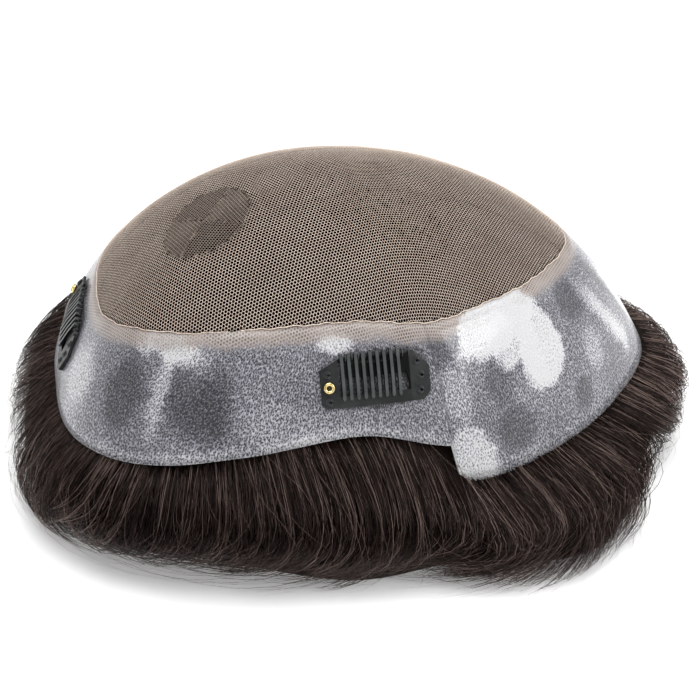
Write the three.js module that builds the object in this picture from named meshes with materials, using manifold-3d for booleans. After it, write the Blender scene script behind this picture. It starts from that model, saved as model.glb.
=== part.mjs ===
// Toupee hairpiece, lying skin side up on its own hair, as it lies when its base is looked over.
// Millimetres, +Z up, +X towards the front hairline, near side clip on -Y.
// The origin is on the surface that the hair lies on, under the middle of the hair.
import * as THREE from "three";
import { mergeVertices } from "three/addons/utils/BufferGeometryUtils.js";
import Module from "manifold-3d";

const wasm = await Module();
wasm.setup();

// Base, measured over its outside
const baseLength = 190; // chord from front hairline to nape
const baseWidth = 138.3; // chord from temple to temple
const planPower = 2.3; // 2 makes the plan an ellipse, more makes it squarer
const domeRise = 68.5; // crown above the temple line
const restHeight = 21.8; // temple line above the surface that the hair lies on
const crownSetBack = 4; // crown towards the nape from the middle of the chord
const templeAngle = 77; // angle round from the hairline where the band steps up
const rearCut = 0.915; // share of the full slope that is left behind the temple step
const skinWall = 1.2;
const laceWall = 1;
const seamGap = 0.3; // between lace and skin, and round the crown patch
const seatGap = 0.3; // under each clip, and under each eyelet's rim
const templeClear = 2; // room between the hair and the upright edge at each temple step

// Crown patch
const patchRadius = 14;
const patchAngle = -170;
const patchSlope = 0.34; // share of the slope at its centre

// Hair
const bedGap = 0.5; // between the base and the hair that hangs from it
const rootBed = 3; // depth of the hair that lies flat against the underside
const hairOverhang = 22; // how far the fullest hair stands out beyond the rim
const hairWall = 15; // thickness of the ring of hair that the piece lies on
const browShare = 0.94; // share of the rim's height at which the hair comes out from under it
const lockWidth = 18;
const lockDepth = 7;
const lockCount = 28;
const lockSink = 0.22; // share of a lock's depth that it lies sunk in the hair below it

// Snap clip
const clipLength = 31;
const clipWidth = 14;
const clipSheet = 0.9; // thickness of each of its two stamped layers
const clipBar = 3.2; // the wide bar along its lower edge
const clipRail = 1.5; // the narrow bar along its upper edge
const clipEye = 5; // the plain end with the eyelet
const clipHeel = 8; // the plain end with three sewing holes
const clipLeaf = 3.6; // the spring leaf behind the teeth
const leafGap = 0.8; // between the leaf and the narrow bar
const sewingHole = 1.5;
const toothPitch = 2;
const toothWidth = 0.9;
const toothOverlap = 1.4; // how far the teeth reach over the wide bar
const eyeletBore = 1.3;
const eyeletRim = 3.2;
const eyeletWall = 0.4;

// Smoothness
const baseColumns = 44;
const laceRows = 6;
const bandRows = 4;
const hairColumns = 32;
const lockSides = 5;
const slabRowCount = 2;
const frameStepCount = 4;
const toothStepCount = 2;

// Sewing holes. along: share of the clip's plain end, in from its tip.
// up: share of the clip's width, from its lower edge.
const sewingHoles = [
  { end: "eye", along: 0.4, up: 0.136 },
  { end: "eye", along: 0.4, up: 0.67 },
  { end: "heel", along: 0.45, up: 0.786 },
  { end: "heel", along: 0.325, up: 0.5 },
  { end: "heel", along: 0.375, up: 0.207 },
];

// The base, by degrees round from the front hairline to the nape. Both halves are alike.
// reach: share of the plan oval. edge: full edge above the temple line, as a share of domeRise.
// lace: share of the slope that the lace covers. turn: degrees that the slope turns through.
const baseTable = [
  { angle: 0, reach: 0.995, edge: -0.029, lace: 0.635, turn: 58.6 },
  { angle: 25, reach: 0.915, edge: -0.011, lace: 0.623, turn: 58.8 },
  { angle: 50, reach: 0.931, edge: -0.03, lace: 0.607, turn: 59.6 },
  { angle: 75, reach: 0.991, edge: -0.002, lace: 0.611, turn: 61.1 },
  { angle: 100, reach: 0.981, edge: 0.13, lace: 0.613, turn: 63.6 },
  { angle: 125, reach: 1.035, edge: 0.076, lace: 0.592, turn: 68.3 },
  { angle: 150, reach: 1.065, edge: -0.045, lace: 0.603, turn: 73.3 },
  { angle: 180, reach: 1.013, edge: -0.105, lace: 0.669, turn: 76.2 },
];

// How far the hair stands out beyond the rim, as shares of hairOverhang.
// brow: just under the rim. belly: half way down. foot: where it meets the surface.
const hairTable = [
  { angle: 0, brow: 0.42, belly: 0.64, foot: 0.36 },
  { angle: 30, brow: 0.38, belly: 0.9, foot: 0.5 },
  { angle: 60, brow: 0.28, belly: 1, foot: 0.7 },
  { angle: 90, brow: 0.16, belly: 0.9, foot: 0.72 },
  { angle: 120, brow: 0.22, belly: 0.8, foot: 0.5 },
  { angle: 150, brow: 0.32, belly: 0.76, foot: 0.45 },
  { angle: 180, brow: 0.3, belly: 0.62, foot: 0.72 },
];

// Locks, used in turn round the rim.
// width, depth: shares of lockWidth and lockDepth. lean: degrees it drifts round on its way down.
// hook: degrees its tip swings back. length: share of the way from rim to foot that it covers.
const lockTable = [
  { width: 1, depth: 1, lean: 13, hook: 8, length: 1.02 },
  { width: 0.8, depth: 0.85, lean: 17, hook: 12, length: 0.86 },
  { width: 1.1, depth: 0.9, lean: 11, hook: 6, length: 1 },
  { width: 0.75, depth: 1.1, lean: 15, hook: 13, length: 0.93 },
  { width: 0.95, depth: 0.9, lean: 12, hook: 9, length: 1.03 },
];

// The shape of a lock from root to tip: swell is the share of its full section.
const lockSections = [
  { way: -0.1, swell: 0.5 },
  { way: 0.2, swell: 0.92 },
  { way: 0.52, swell: 1 },
  { way: 0.82, swell: 0.75 },
  { way: 1, swell: 0.16 },
];

const fullTurn = 360; // degrees
const halfTurn = fullTurn / 2;
const radians = THREE.MathUtils.degToRad;

// A column of a table at an angle, by a smooth curve through its rows, mirrored at both ends
function readTable(table, column, angle) {
  const turned = Math.abs(((((angle + halfTurn) % fullTurn) + fullTurn) % fullTurn) - halfTurn);
  const last = table.length - 1;
  let row = 0;
  while (row < last - 1 && table[row + 1].angle <= turned) row += 1;
  const knot = (index) => {
    if (index < 0) return { x: -table[1].angle, y: table[1][column] };
    if (index > last) return { x: fullTurn - table[last - 1].angle, y: table[last - 1][column] };
    return { x: table[index].angle, y: table[index][column] };
  };
  const [before, from, to, after] = [row - 1, row, row + 1, row + 2].map(knot);
  const span = to.x - from.x;
  const t = (turned - from.x) / span;
  const leave = (span * (to.y - before.y)) / (to.x - before.x);
  const arrive = (span * (after.y - from.y)) / (after.x - from.x);
  const rise = t * t * (3 - 2 * t);
  return (1 - rise) * from.y + rise * to.y + t * (1 - t) * ((1 - t) * leave - t * arrive);
}

// A point of the base's outside. slope is 0 at the crown and 1 at the full edge.
function basePoint(angle, slope) {
  const turn = radians(readTable(baseTable, "turn", angle));
  const across = Math.cos(radians(angle));
  const aside = Math.sin(radians(angle));
  const oval = (Math.abs(across / (baseLength / 2)) ** planPower
    + Math.abs(aside / (baseWidth / 2)) ** planPower) ** (-1 / planPower);
  const reach = oval * readTable(baseTable, "reach", angle);
  const out = Math.sin(slope * turn) / Math.sin(turn);
  const down = (1 - Math.cos(slope * turn)) / (1 - Math.cos(turn));
  const fall = domeRise * (1 - readTable(baseTable, "edge", angle)) * down;
  const x = reach * out * across - crownSetBack * (1 - out);
  return new THREE.Vector3(x, reach * out * aside, restHeight + domeRise - fall);
}

// Directions at a point of the base: round the rim, up the slope and out of the surface
function baseFrame(angle, slope) {
  const step = { angle: 0.4, slope: 0.004 };
  const at = Math.max(slope, step.slope);
  const round = basePoint(angle + step.angle, at).sub(basePoint(angle - step.angle, at)).normalize();
  const up = basePoint(angle, at - step.slope).sub(basePoint(angle, at + step.slope)).normalize();
  const out = new THREE.Vector3().crossVectors(round, up).normalize();
  if (slope === 0) out.set(0, 0, 1);
  return { round, up: new THREE.Vector3().crossVectors(out, round), out };
}

// A point under the base's outside by a depth measured square to the surface
function underBase(angle, slope, depth) {
  return basePoint(angle, slope).addScaledVector(baseFrame(angle, slope).out, -depth);
}

// Angles round the base, with a close pair at each temple step
function ringAngles(count, stepAngle) {
  const half = 0.35; // degrees that the upright edge takes up, each way
  const plain = Array.from({ length: count }, (_, index) => -halfTurn + (fullTurn * index) / count);
  const room = halfTurn / count;
  const kept = plain.filter((angle) => Math.abs(Math.abs(angle) - stepAngle) > room);
  const pairs = [-1, 1].flatMap((side) => [side * (stepAngle - half), side * (stepAngle + half)]);
  return [...kept, ...pairs].sort((one, other) => one - other);
}

// Slope share where the base ends at an angle, with its step at each temple
function edgeSlope(angle, stepAngle) {
  return Math.abs(angle) > stepAngle ? rearCut : 1;
}

// A slope share moved down the surface by a length
function downSlope(angle, slope, length) {
  const span = 0.05;
  return slope + (span * length) / basePoint(angle, slope - span).distanceTo(basePoint(angle, slope));
}

// The same edge without the step, for the hair that hangs past it
function easedEdge(angle) {
  const spread = 8; // degrees each way over which the step fades out
  const ease = THREE.MathUtils.smoothstep(Math.abs(angle), templeAngle - spread, templeAngle + spread);
  return THREE.MathUtils.lerp(1, rearCut, ease);
}

// A closed body from a chain of equal loops. With poles, its two ends close on them;
// with none, the last loop joins the first.
function loopBody(loops, poles) {
  const columns = loops[0].length;
  const points = loops.flat();
  const faces = [];
  const bands = poles ? loops.length - 1 : loops.length;
  for (let band = 0; band < bands; band += 1) {
    const next = (band + 1) % loops.length;
    for (let column = 0; column < columns; column += 1) {
      const beside = (column + 1) % columns;
      const [a, b] = [band * columns + column, band * columns + beside];
      const [c, d] = [next * columns + beside, next * columns + column];
      faces.push(a, d, b, b, d, c);
    }
  }
  if (poles) {
    const start = points.push(poles[0]) - 1;
    const end = points.push(poles[1]) - 1;
    const lastLoop = (loops.length - 1) * columns;
    for (let column = 0; column < columns; column += 1) {
      const beside = (column + 1) % columns;
      faces.push(start, column, beside, end, lastLoop + beside, lastLoop + column);
    }
  }
  const geometry = new THREE.BufferGeometry();
  const flat = points.flatMap((point) => point.toArray());
  geometry.setAttribute("position", new THREE.Float32BufferAttribute(flat, 3));
  geometry.setIndex(faces);
  return geometry;
}

// Geometry to a solid for joining and cutting, turned right way out
function toSolid(geometry) {
  const bare = geometry.clone();
  bare.deleteAttribute("normal");
  bare.deleteAttribute("uv");
  const merged = mergeVertices(bare, 1e-4);
  const vertProperties = new Float32Array(merged.attributes.position.array);
  const triVerts = new Uint32Array(merged.index.array);
  const solid = new wasm.Manifold(new wasm.Mesh({ numProp: 3, vertProperties, triVerts }));
  if (solid.volume() > 0) return solid;
  const flipped = triVerts.slice();
  for (let face = 0; face < flipped.length; face += 3) {
    flipped[face] = triVerts[face + 1];
    flipped[face + 1] = triVerts[face];
  }
  return new wasm.Manifold(new wasm.Mesh({ numProp: 3, vertProperties, triVerts: flipped }));
}

// A solid back to geometry for its mesh
function toGeometry(solid) {
  const mesh = solid.getMesh();
  const geometry = new THREE.BufferGeometry();
  geometry.setAttribute("position", new THREE.Float32BufferAttribute(mesh.vertProperties, 3));
  geometry.setIndex(Array.from(mesh.triVerts));
  geometry.computeVertexNormals();
  return geometry;
}

// A row of points round the base at one slope share and depth, both given by angle
function ring(angles, slopeAt, depth) {
  return angles.map((angle) => underBase(angle, slopeAt(angle), depth));
}

// Even shares from one end to the other, both ends included
function shares(count) {
  return Array.from({ length: count + 1 }, (_, index) => index / count);
}

// The lace dome, as a solid that still has the crown patch in it
function laceSolid() {
  const angles = ringAngles(baseColumns, templeAngle);
  const rows = shares(laceRows).slice(1);
  const slopeAt = (share) => (angle) => share * readTable(baseTable, "lace", angle);
  const outer = rows.map((share) => ring(angles, slopeAt(share), 0));
  const inner = rows.map((share) => ring(angles, slopeAt(share), laceWall)).reverse();
  const poles = [underBase(0, 0, 0), underBase(0, 0, laceWall)];
  return toSolid(loopBody([...outer, ...inner], poles));
}

// A round cutter square to the base at the crown patch
function patchCutter(radius) {
  const length = 4 * patchRadius;
  const cutter = new THREE.CylinderGeometry(radius, radius, length, 24);
  const { out } = baseFrame(patchAngle, patchSlope);
  const turn = new THREE.Quaternion().setFromUnitVectors(new THREE.Vector3(0, 1, 0), out);
  const centre = basePoint(patchAngle, patchSlope);
  cutter.applyQuaternion(turn);
  cutter.translate(...centre.toArray());
  return toSolid(cutter);
}

// The clear skin round the rim, with its step at each temple
function skinSolid() {
  const angles = ringAngles(baseColumns, templeAngle);
  const inside = (angle) => downSlope(angle, readTable(baseTable, "lace", angle), seamGap);
  const slopeAt = (share) => (angle) =>
    THREE.MathUtils.lerp(inside(angle), edgeSlope(angle, templeAngle), share);
  const rows = shares(bandRows);
  const outer = rows.map((share) => ring(angles, slopeAt(share), 0));
  const inner = rows.map((share) => ring(angles, slopeAt(share), skinWall)).reverse();
  return toSolid(loopBody([...outer, ...inner]));
}

// The direction straight out from the rim, level with the surface below
function levelOut(angle) {
  const { round } = baseFrame(angle, easedEdge(angle));
  return new THREE.Vector3(round.y, -round.x, 0).normalize();
}

// A point of the hair's outside. way is 0 just under the rim and 1 at the foot;
// lift stands it off, and below the foot it runs straight on down.
function hairPoint(angle, way, lift = 0) {
  const rim = basePoint(angle, easedEdge(angle));
  const [brow, belly, foot] = ["brow", "belly", "foot"].map(
    (column) => readTable(hairTable, column, angle) * hairOverhang);
  const reach = brow * (1 - way) * (1 - 2 * way) + belly * 4 * way * (1 - way) + foot * way * (2 * way - 1);
  const point = rim.clone().addScaledVector(levelOut(angle), reach + lift);
  point.z = rim.z * browShare * (1 - way);
  return point;
}

// Depth of the top of the hair under the outside of the base
function bedDepth() {
  return Math.max(skinWall, laceWall) + bedGap;
}

// A length round the base at the temples, as degrees
function templeDegrees(length) {
  return THREE.MathUtils.radToDeg(length / (baseWidth / 2));
}

// The hair bed under the base and the ring of hair that it lies on, open underneath
function hairBedSolid() {
  const stepAngle = templeAngle + templeDegrees(templeClear);
  const angles = ringAngles(hairColumns, stepAngle);
  const top = bedDepth();
  const below = top + rootBed;
  const edge = (angle) => edgeSlope(angle, stepAngle);
  const bedRows = shares(6).slice(1);
  const roof = bedRows.map((share) => ring(angles, (angle) => share * edge(angle), top));
  const lip = angles.map((angle) => {
    const { up } = baseFrame(angle, edge(angle));
    return underBase(angle, edge(angle), skinWall / 2).addScaledVector(up, -1.2 * bedGap);
  });
  const brow = angles.map((angle) => {
    const { up } = baseFrame(angle, edge(angle));
    const turnedOut = underBase(angle, edge(angle), 0).addScaledVector(up, -3 * bedGap);
    return turnedOut.lerp(hairPoint(angle, 0), 1 / 3);
  });
  const outside = [0.1, 0.32, 0.56, 0.8, 1.08].map((way) =>
    angles.map((angle) => hairPoint(angle, way)));
  const thicker = 0.25; // share by which the wall grows from foot to rim
  const inside = [1.08, 0.6, 0.2].map((way) =>
    angles.map((angle) => hairPoint(angle, way, -hairWall * (1 + thicker * (1 - way)))));
  const floorOfBed = [0.84, 0.6, 0.4, 0.2].map((share) =>
    ring(angles, (angle) => share * rearCut, below));
  const poles = [underBase(0, 0, top), underBase(0, 0, below)];
  return toSolid(loopBody([...roof, lip, brow, ...outside, ...inside, ...floorOfBed], poles));
}

// The room that the hair leaves for the base: the base, its gap, and the space over it
function baseRoomSolid() {
  const stepAngle = templeAngle + templeDegrees(templeClear / 2);
  const overBase = 12; // taller than any lock stands
  const depth = bedDepth();
  const angles = ringAngles(baseColumns, stepAngle);
  const edge = (angle) => downSlope(angle, edgeSlope(angle, stepAngle), 1.2 * bedGap);
  const rows = shares(5).slice(1);
  const over = rows.map((share) => ring(angles, (angle) => share * edge(angle), -overBase));
  const under = rows.map((share) => ring(angles, (angle) => share * edge(angle), depth));
  const poles = [underBase(0, 0, -overBase), underBase(0, 0, depth)];
  return toSolid(loopBody([...over, ...under.reverse()], poles));
}

// One tapered lock, swept down the outside of the hair with its tip hooked back
function lockSolid(angle, row) {
  const side = -Math.sin(radians(angle)); // both halves sweep forward, and not at the middle
  const path = lockSections.map(({ way }) => {
    const along = Math.max(way, 0) * row.length;
    const swing = side * (row.lean * along - row.hook * along ** 4);
    return hairPoint(angle + swing, way * row.length, -lockDepth * lockSink * row.depth);
  });
  const loops = lockSections.map(({ way, swell }, index) => {
    const before = path[Math.max(index - 1, 0)];
    const after = path[Math.min(index + 1, path.length - 1)];
    const down = after.clone().sub(before).normalize();
    const across = new THREE.Vector3().crossVectors(down, levelOut(angle)).normalize();
    const out = new THREE.Vector3().crossVectors(across, down);
    const halfWidth = (lockWidth * row.width * swell) / 2;
    const halfDepth = (lockDepth * row.depth * swell) / 2;
    return Array.from({ length: lockSides }, (_, corner) => {
      const turn = (2 * Math.PI * corner) / lockSides;
      return path[index].clone()
        .addScaledVector(across, halfWidth * Math.cos(turn))
        .addScaledVector(out, halfDepth * Math.sin(turn));
    });
  });
  return toSolid(loopBody(loops, [path[0], path[path.length - 1]]));
}

// All the hair as one body, cut flat where it lies
function hairSolid() {
  const room = baseRoomSolid();
  let hair = hairBedSolid();
  for (let index = 0; index < lockCount; index += 1) {
    const angle = -halfTurn + (fullTurn * (index + 0.5)) / lockCount;
    hair = hair.add(lockSolid(angle, lockTable[index % lockTable.length]).subtract(room));
  }
  const span = 2 * baseLength;
  const below = new THREE.BoxGeometry(span, span, span).translate(0, 0, -span / 2);
  const pieces = hair.subtract(toSolid(below)).decompose();
  // Pockets caught between locks come out as pieces of their own, and only the hair is kept
  return pieces.reduce((most, piece) => (piece.volume() > most.volume() ? piece : most));
}

// A flat outline, pushed through a clip's thickness
function clipPrism(outline, holes = []) {
  const shape = new THREE.Shape(outline.map(([x, y]) => new THREE.Vector2(x, y)));
  holes.forEach(({ x, y, radius, sides }) => {
    const rim = Array.from({ length: sides }, (_, corner) => {
      const turn = (2 * Math.PI * corner) / sides;
      return new THREE.Vector2(x + radius * Math.cos(turn), y + radius * Math.sin(turn));
    });
    shape.holes.push(new THREE.Path(rim));
  });
  const depth = clipWidth;
  const prism = new THREE.ExtrudeGeometry(shape, { depth, bevelEnabled: false });
  return toSolid(prism.translate(0, 0, -depth / 2));
}

// The place on the base under a point of a clip's flat pattern
function seatPoint(seat, x, y) {
  const turn = radians(seat.turn);
  const { round, up, out } = baseFrame(seat.angle, seat.slope);
  const along = round.clone().multiplyScalar(Math.cos(turn)).addScaledVector(up, Math.sin(turn));
  const over = new THREE.Vector3().crossVectors(out, along);
  const centre = basePoint(seat.angle, seat.slope);
  let [angle, slope] = [seat.angle, seat.slope];
  for (let pass = 0; pass < 6; pass += 1) {
    const miss = basePoint(angle, slope).sub(centre).multiplyScalar(-1)
      .addScaledVector(along, x).addScaledVector(over, y);
    const step = { angle: 0.1, slope: 0.001 };
    const byAngle = basePoint(angle + step.angle, slope).sub(basePoint(angle, slope));
    const bySlope = basePoint(angle, slope + step.slope).sub(basePoint(angle, slope));
    const [a, b] = [byAngle.dot(along), bySlope.dot(along)];
    const [c, d] = [byAngle.dot(over), bySlope.dot(over)];
    const whole = a * d - b * c;
    const [e, f] = [miss.dot(along), miss.dot(over)];
    angle += (step.angle * (d * e - b * f)) / whole;
    slope += (step.slope * (a * f - c * e)) / whole;
  }
  const height = basePoint(angle, slope).sub(centre).dot(out);
  return { centre, along, over, out, height };
}

// A slab in a clip's own frame that follows the base between two heights above it,
// in an even number of steps along its length
function clipSlab(seat, low, high, steps) {
  const spread = 1.3; // the slab reaches past the clip's outline all round, as a share of it
  const grid = (lift) => shares(slabRowCount).map((across) => shares(steps).map((along) => {
    const x = (along - 0.5) * clipLength * spread;
    const y = (across - 0.5) * clipWidth * spread;
    return new THREE.Vector3(x, y, seatPoint(seat, x, y).height + lift);
  }));
  const [bottom, top] = [grid(low), grid(high)];
  const loops = bottom.map((row, index) => [...row, ...top[index].slice().reverse()]);
  const middle = (row, other) => row[steps / 2].clone().lerp(other[steps / 2], 0.5);
  const [firstEnd, lastEnd] = [0, slabRowCount].map((row) => middle(bottom[row], top[row]));
  return toSolid(loopBody(loops, [firstEnd, lastEnd]));
}

// The clip's stamped frame, in its own frame: x along it, y up the slope, z out
function clipFrameOutline() {
  const [right, up] = [clipLength / 2, clipWidth / 2];
  const corner = 2.2;
  return [
    [-right + corner / 2, -up], [right - corner, -up], [right, -up + corner],
    [right, up - 2 * corner], [right - 2 * corner, up], [-right + 3 * corner, up],
    [-right, up - 1.5 * corner], [-right, -up + corner / 2],
  ];
}

// Where the clip's window starts and ends, along it
function clipWindow() {
  return { left: -clipLength / 2 + clipEye, right: clipLength / 2 - clipHeel };
}

// The window through the clip's frame, with a foot that runs on under the heel
function clipWindowSolid() {
  const { left, right } = clipWindow();
  const [low, high] = [-clipWidth / 2 + clipBar, clipWidth / 2 - clipRail];
  const [foot, sill] = [right + clipHeel / 4, low + clipWidth / 6];
  return clipPrism([[left, low], [foot, low], [foot, sill], [right, high], [left, high]]);
}

// Sewing holes and the bore for the eyelet
function clipHoles() {
  const sew = { radius: sewingHole / 2, sides: 5 };
  const eyelet = eyeletPlace();
  const bore = { ...eyelet, radius: eyeletBore / 2 + eyeletWall + seamGap, sides: 8 };
  const sewn = sewingHoles.map(({ end, along, up }) => {
    const x = end === "eye" ? along * clipEye - clipLength / 2 : clipLength / 2 - along * clipHeel;
    return { x, y: (up - 0.5) * clipWidth, ...sew };
  });
  return [...sewn, bore];
}

// Centre of the eyelet on the clip
function eyeletPlace() {
  const place = { along: 0.42, up: 0.414 };
  return { x: place.along * clipEye - clipLength / 2, y: (place.up - 0.5) * clipWidth };
}

// One tooth of the comb, with a rounded tip over the wide bar
function toothSolid(x) {
  const half = toothWidth / 2;
  const tip = -clipWidth / 2 + clipBar - toothOverlap;
  const root = clipWidth / 2 + clipRail / 2;
  return clipPrism([
    [x - half, tip + half], [x, tip], [x + half, tip + half], [x + half, root], [x - half, root],
  ]);
}

// A whole clip: frame, spring leaf and comb, sprung from one stamping
function clipSolid(seat) {
  const sheet = clipSlab(seat, seatGap, seatGap + clipSheet, frameStepCount);
  const frame = clipPrism(clipFrameOutline(), clipHoles()).subtract(clipWindowSolid());
  const { left, right } = clipWindow();
  const leafTop = clipWidth / 2 - clipRail - leafGap;
  const [leafEnd, leafRoot] = [left + leafGap, right + clipHeel / 8];
  const leaf = clipPrism([
    [leafEnd, leafTop - clipLeaf], [leafRoot, leafTop - clipLeaf],
    [leafRoot, leafTop], [leafEnd, leafTop],
  ]);
  const bite = clipSheet / 10; // depth that the teeth share with the sheet, which makes them one piece
  const [low, high] = [seatGap + clipSheet - bite, seatGap + 2 * clipSheet - bite];
  const raised = clipSlab(seat, low, high, toothStepCount);
  let clip = sheet.intersect(frame.add(leaf));
  const teeth = Math.floor((right - left - toothWidth) / toothPitch) + 1;
  for (let index = 0; index < teeth; index += 1) {
    const x = right - toothWidth - toothPitch * index;
    clip = clip.add(raised.intersect(toothSolid(x)));
  }
  return clip;
}

// The eyelet as a turned ring: a barrel in the bore and a rolled rim over the sheet
function eyeletGeometry() {
  const bore = eyeletBore / 2;
  const barrel = bore + eyeletWall;
  const rim = eyeletRim / 2;
  const top = clipSheet + seatGap;
  const roll = eyeletWall; // the rolled rim is as thick as the wall on each side of its middle
  const profile = [
    [bore, 0], [barrel, 0], [barrel, top], [rim, top], [rim, top + roll],
    [rim - roll, top + 2 * roll], [bore, top + 2 * roll], [bore, 0],
  ].map(([x, y]) => new THREE.Vector2(x, y));
  return new THREE.LatheGeometry(profile, 8).rotateX(Math.PI / 2);
}

// A named mesh with its own finish
function named(name, geometry, finish) {
  const mesh = new THREE.Mesh(geometry, new THREE.MeshStandardMaterial(finish));
  mesh.name = name;
  return mesh;
}

// Turns and moves a mesh from a clip's own frame to its seat on the base
function seatMesh(mesh, seat, x = 0, y = 0, lift = 0) {
  const { centre, along, over, out, height } = seatPoint(seat, x, y);
  const turn = new THREE.Matrix4().makeBasis(along, over, out);
  mesh.quaternion.setFromRotationMatrix(turn);
  mesh.position.copy(centre).addScaledVector(along, x).addScaledVector(over, y);
  mesh.position.addScaledVector(out, height + lift);
  return mesh;
}

// Where each clip is sewn on. turn: degrees its length is turned from the line of the rim.
const clipSeats = [
  { name: "side_clip_near", angle: -95.5, slope: 0.768, turn: 8 },
  { name: "side_clip_far", angle: 95.5, slope: 0.768, turn: -8 },
  { name: "back_clip", angle: 174, slope: 0.785, turn: -20 },
];

const finishes = {
  lace: { color: "#c9b9a8", roughness: 0.85, metalness: 0 },
  patch: { color: "#8a7a6c", roughness: 0.85, metalness: 0 },
  skin: { color: "#a3a3ad", roughness: 0.3, metalness: 0 },
  hair: { color: "#2a1d1a", roughness: 0.5, metalness: 0 },
  lacquer: { color: "#17181a", roughness: 0.35, metalness: 0.6 },
  brass: { color: "#c9a24a", roughness: 0.25, metalness: 1 },
};

const toupee = new THREE.Group();
const lace = laceSolid();
const laceCap = lace.subtract(patchCutter(patchRadius + seamGap));
const crownPatch = lace.intersect(patchCutter(patchRadius));
toupee.add(named("lace_cap", toGeometry(laceCap), finishes.lace));
toupee.add(named("crown_patch", toGeometry(crownPatch), finishes.patch));
toupee.add(named("skin_band", toGeometry(skinSolid()), finishes.skin));
toupee.add(named("hair", toGeometry(hairSolid()), finishes.hair));
for (const seat of clipSeats) {
  const clip = named(seat.name, toGeometry(clipSolid(seat)), finishes.lacquer);
  toupee.add(seatMesh(clip, seat));
  const eyelet = named(`${seat.name}_eyelet`, eyeletGeometry(), finishes.brass);
  const place = eyeletPlace();
  toupee.add(seatMesh(eyelet, seat, place.x, place.y, seatGap));
}

// The middle of the hair stands over the origin
const size = new THREE.Box3().setFromObject(toupee);
const middle = size.getCenter(new THREE.Vector3());
toupee.position.set(-middle.x, -middle.y, -size.min.z);

export default toupee;
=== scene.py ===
"""A dark hairpiece that lies inside out on its own hair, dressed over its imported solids.

The lace dome and the clear skin band face up, three snap clips are sewn round the band,
and the hair hangs from under the rim. Sizes are in millimetres, and `MM` turns them into metres.
"""

import logging
import math
from dataclasses import dataclass, field
from enum import Enum
from functools import cached_property
from typing import Callable

import bmesh
import bpy
import numpy as np
from mathutils import Matrix, Vector

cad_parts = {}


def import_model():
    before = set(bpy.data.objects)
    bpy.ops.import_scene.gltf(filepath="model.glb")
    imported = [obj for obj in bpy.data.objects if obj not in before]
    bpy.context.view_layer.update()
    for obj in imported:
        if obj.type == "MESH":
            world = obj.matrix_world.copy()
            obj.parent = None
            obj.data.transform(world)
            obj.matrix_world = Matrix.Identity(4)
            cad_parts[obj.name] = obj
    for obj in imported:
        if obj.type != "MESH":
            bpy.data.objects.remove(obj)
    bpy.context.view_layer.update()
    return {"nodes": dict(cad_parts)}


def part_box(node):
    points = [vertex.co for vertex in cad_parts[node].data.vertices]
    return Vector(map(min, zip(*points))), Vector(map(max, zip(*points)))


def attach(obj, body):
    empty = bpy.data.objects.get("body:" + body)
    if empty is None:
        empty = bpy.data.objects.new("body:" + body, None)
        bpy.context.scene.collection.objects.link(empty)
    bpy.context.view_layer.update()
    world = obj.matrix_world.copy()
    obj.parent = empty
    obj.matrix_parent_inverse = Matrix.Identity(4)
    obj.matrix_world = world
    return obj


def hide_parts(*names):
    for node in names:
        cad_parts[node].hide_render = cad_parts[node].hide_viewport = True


log = logging.getLogger("hairpiece")

MM = 0.001
FULL_TURN = 360.0
PHOTO_SIDE = 700  # pixels
BODY = "root"

Setting = float | int | str | bool | tuple | list
Source = bpy.types.Node | bpy.types.NodeSocket


class Way(Enum):
    """How a tress of hair is laid."""

    FALL = "fall"
    INNER = "inner"
    STRAY = "stray"


def linear(code: str) -> tuple[float, float, float, float]:
    """Turns an sRGB hex colour into linear light.

    Args:
        code: The colour, such as "#2a1d1a".

    Returns:
        Red, green, blue and a full alpha.
    """
    parts = [int(code[place:place + 2], 16) / 255 for place in (1, 3, 5)]
    light = [part / 12.92 if part <= 0.04045 else ((part + 0.055) / 1.055) ** 2.4 for part in parts]
    return (light[0], light[1], light[2], 1.0)


def per_metre(millimetres: float) -> float:
    """Pattern scale that gives one repeat in this many millimetres."""
    return 1 / (millimetres * MM)


def ease(value: np.ndarray, low: float, high: float) -> np.ndarray:
    """Smooth step from 0 at low to 1 at high."""
    share = np.clip((value - low) / (high - low), 0, 1)
    return share * share * (3 - 2 * share)


def unit(vectors: np.ndarray) -> np.ndarray:
    """Vectors of length one."""
    return vectors / np.maximum(np.linalg.norm(vectors, axis=-1, keepdims=True), 1e-12)


# Shapes


@dataclass(frozen=True)
class RoundTable:
    """Values by degrees round from the front, read by a smooth curve, alike on both halves."""

    columns: tuple[str, ...]
    rows: tuple[tuple[float, ...], ...]

    def read(self, column: str, angle: np.ndarray) -> np.ndarray:
        """Reads one column.

        Args:
            column: The column's name.
            angle: Degrees round from the front.

        Returns:
            The column's value at each angle.
        """
        place = self.columns.index(column)
        knots = np.array([row[0] for row in self.rows], dtype=float)
        values = np.array([row[place] for row in self.rows], dtype=float)
        x = np.concatenate(([-knots[1]], knots, [FULL_TURN - knots[-2]]))
        y = np.concatenate(([values[1]], values, [values[-2]]))
        turned = np.abs((np.asarray(angle, dtype=float) + 180) % FULL_TURN - 180)
        row = np.clip(np.searchsorted(knots, turned, side="right") - 1, 0, len(knots) - 2)
        x_before, x_from, x_to, x_after = (x[row + step] for step in range(4))
        y_before, y_from, y_to, y_after = (y[row + step] for step in range(4))
        span = x_to - x_from
        share = (turned - x_from) / span
        leave = span * (y_to - y_before) / (x_to - x_before)
        arrive = span * (y_after - y_from) / (x_after - x_from)
        rise = share * share * (3 - 2 * share)
        bend = share * (1 - share) * ((1 - share) * leave - share * arrive)
        return (1 - rise) * y_from + rise * y_to + bend


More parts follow.
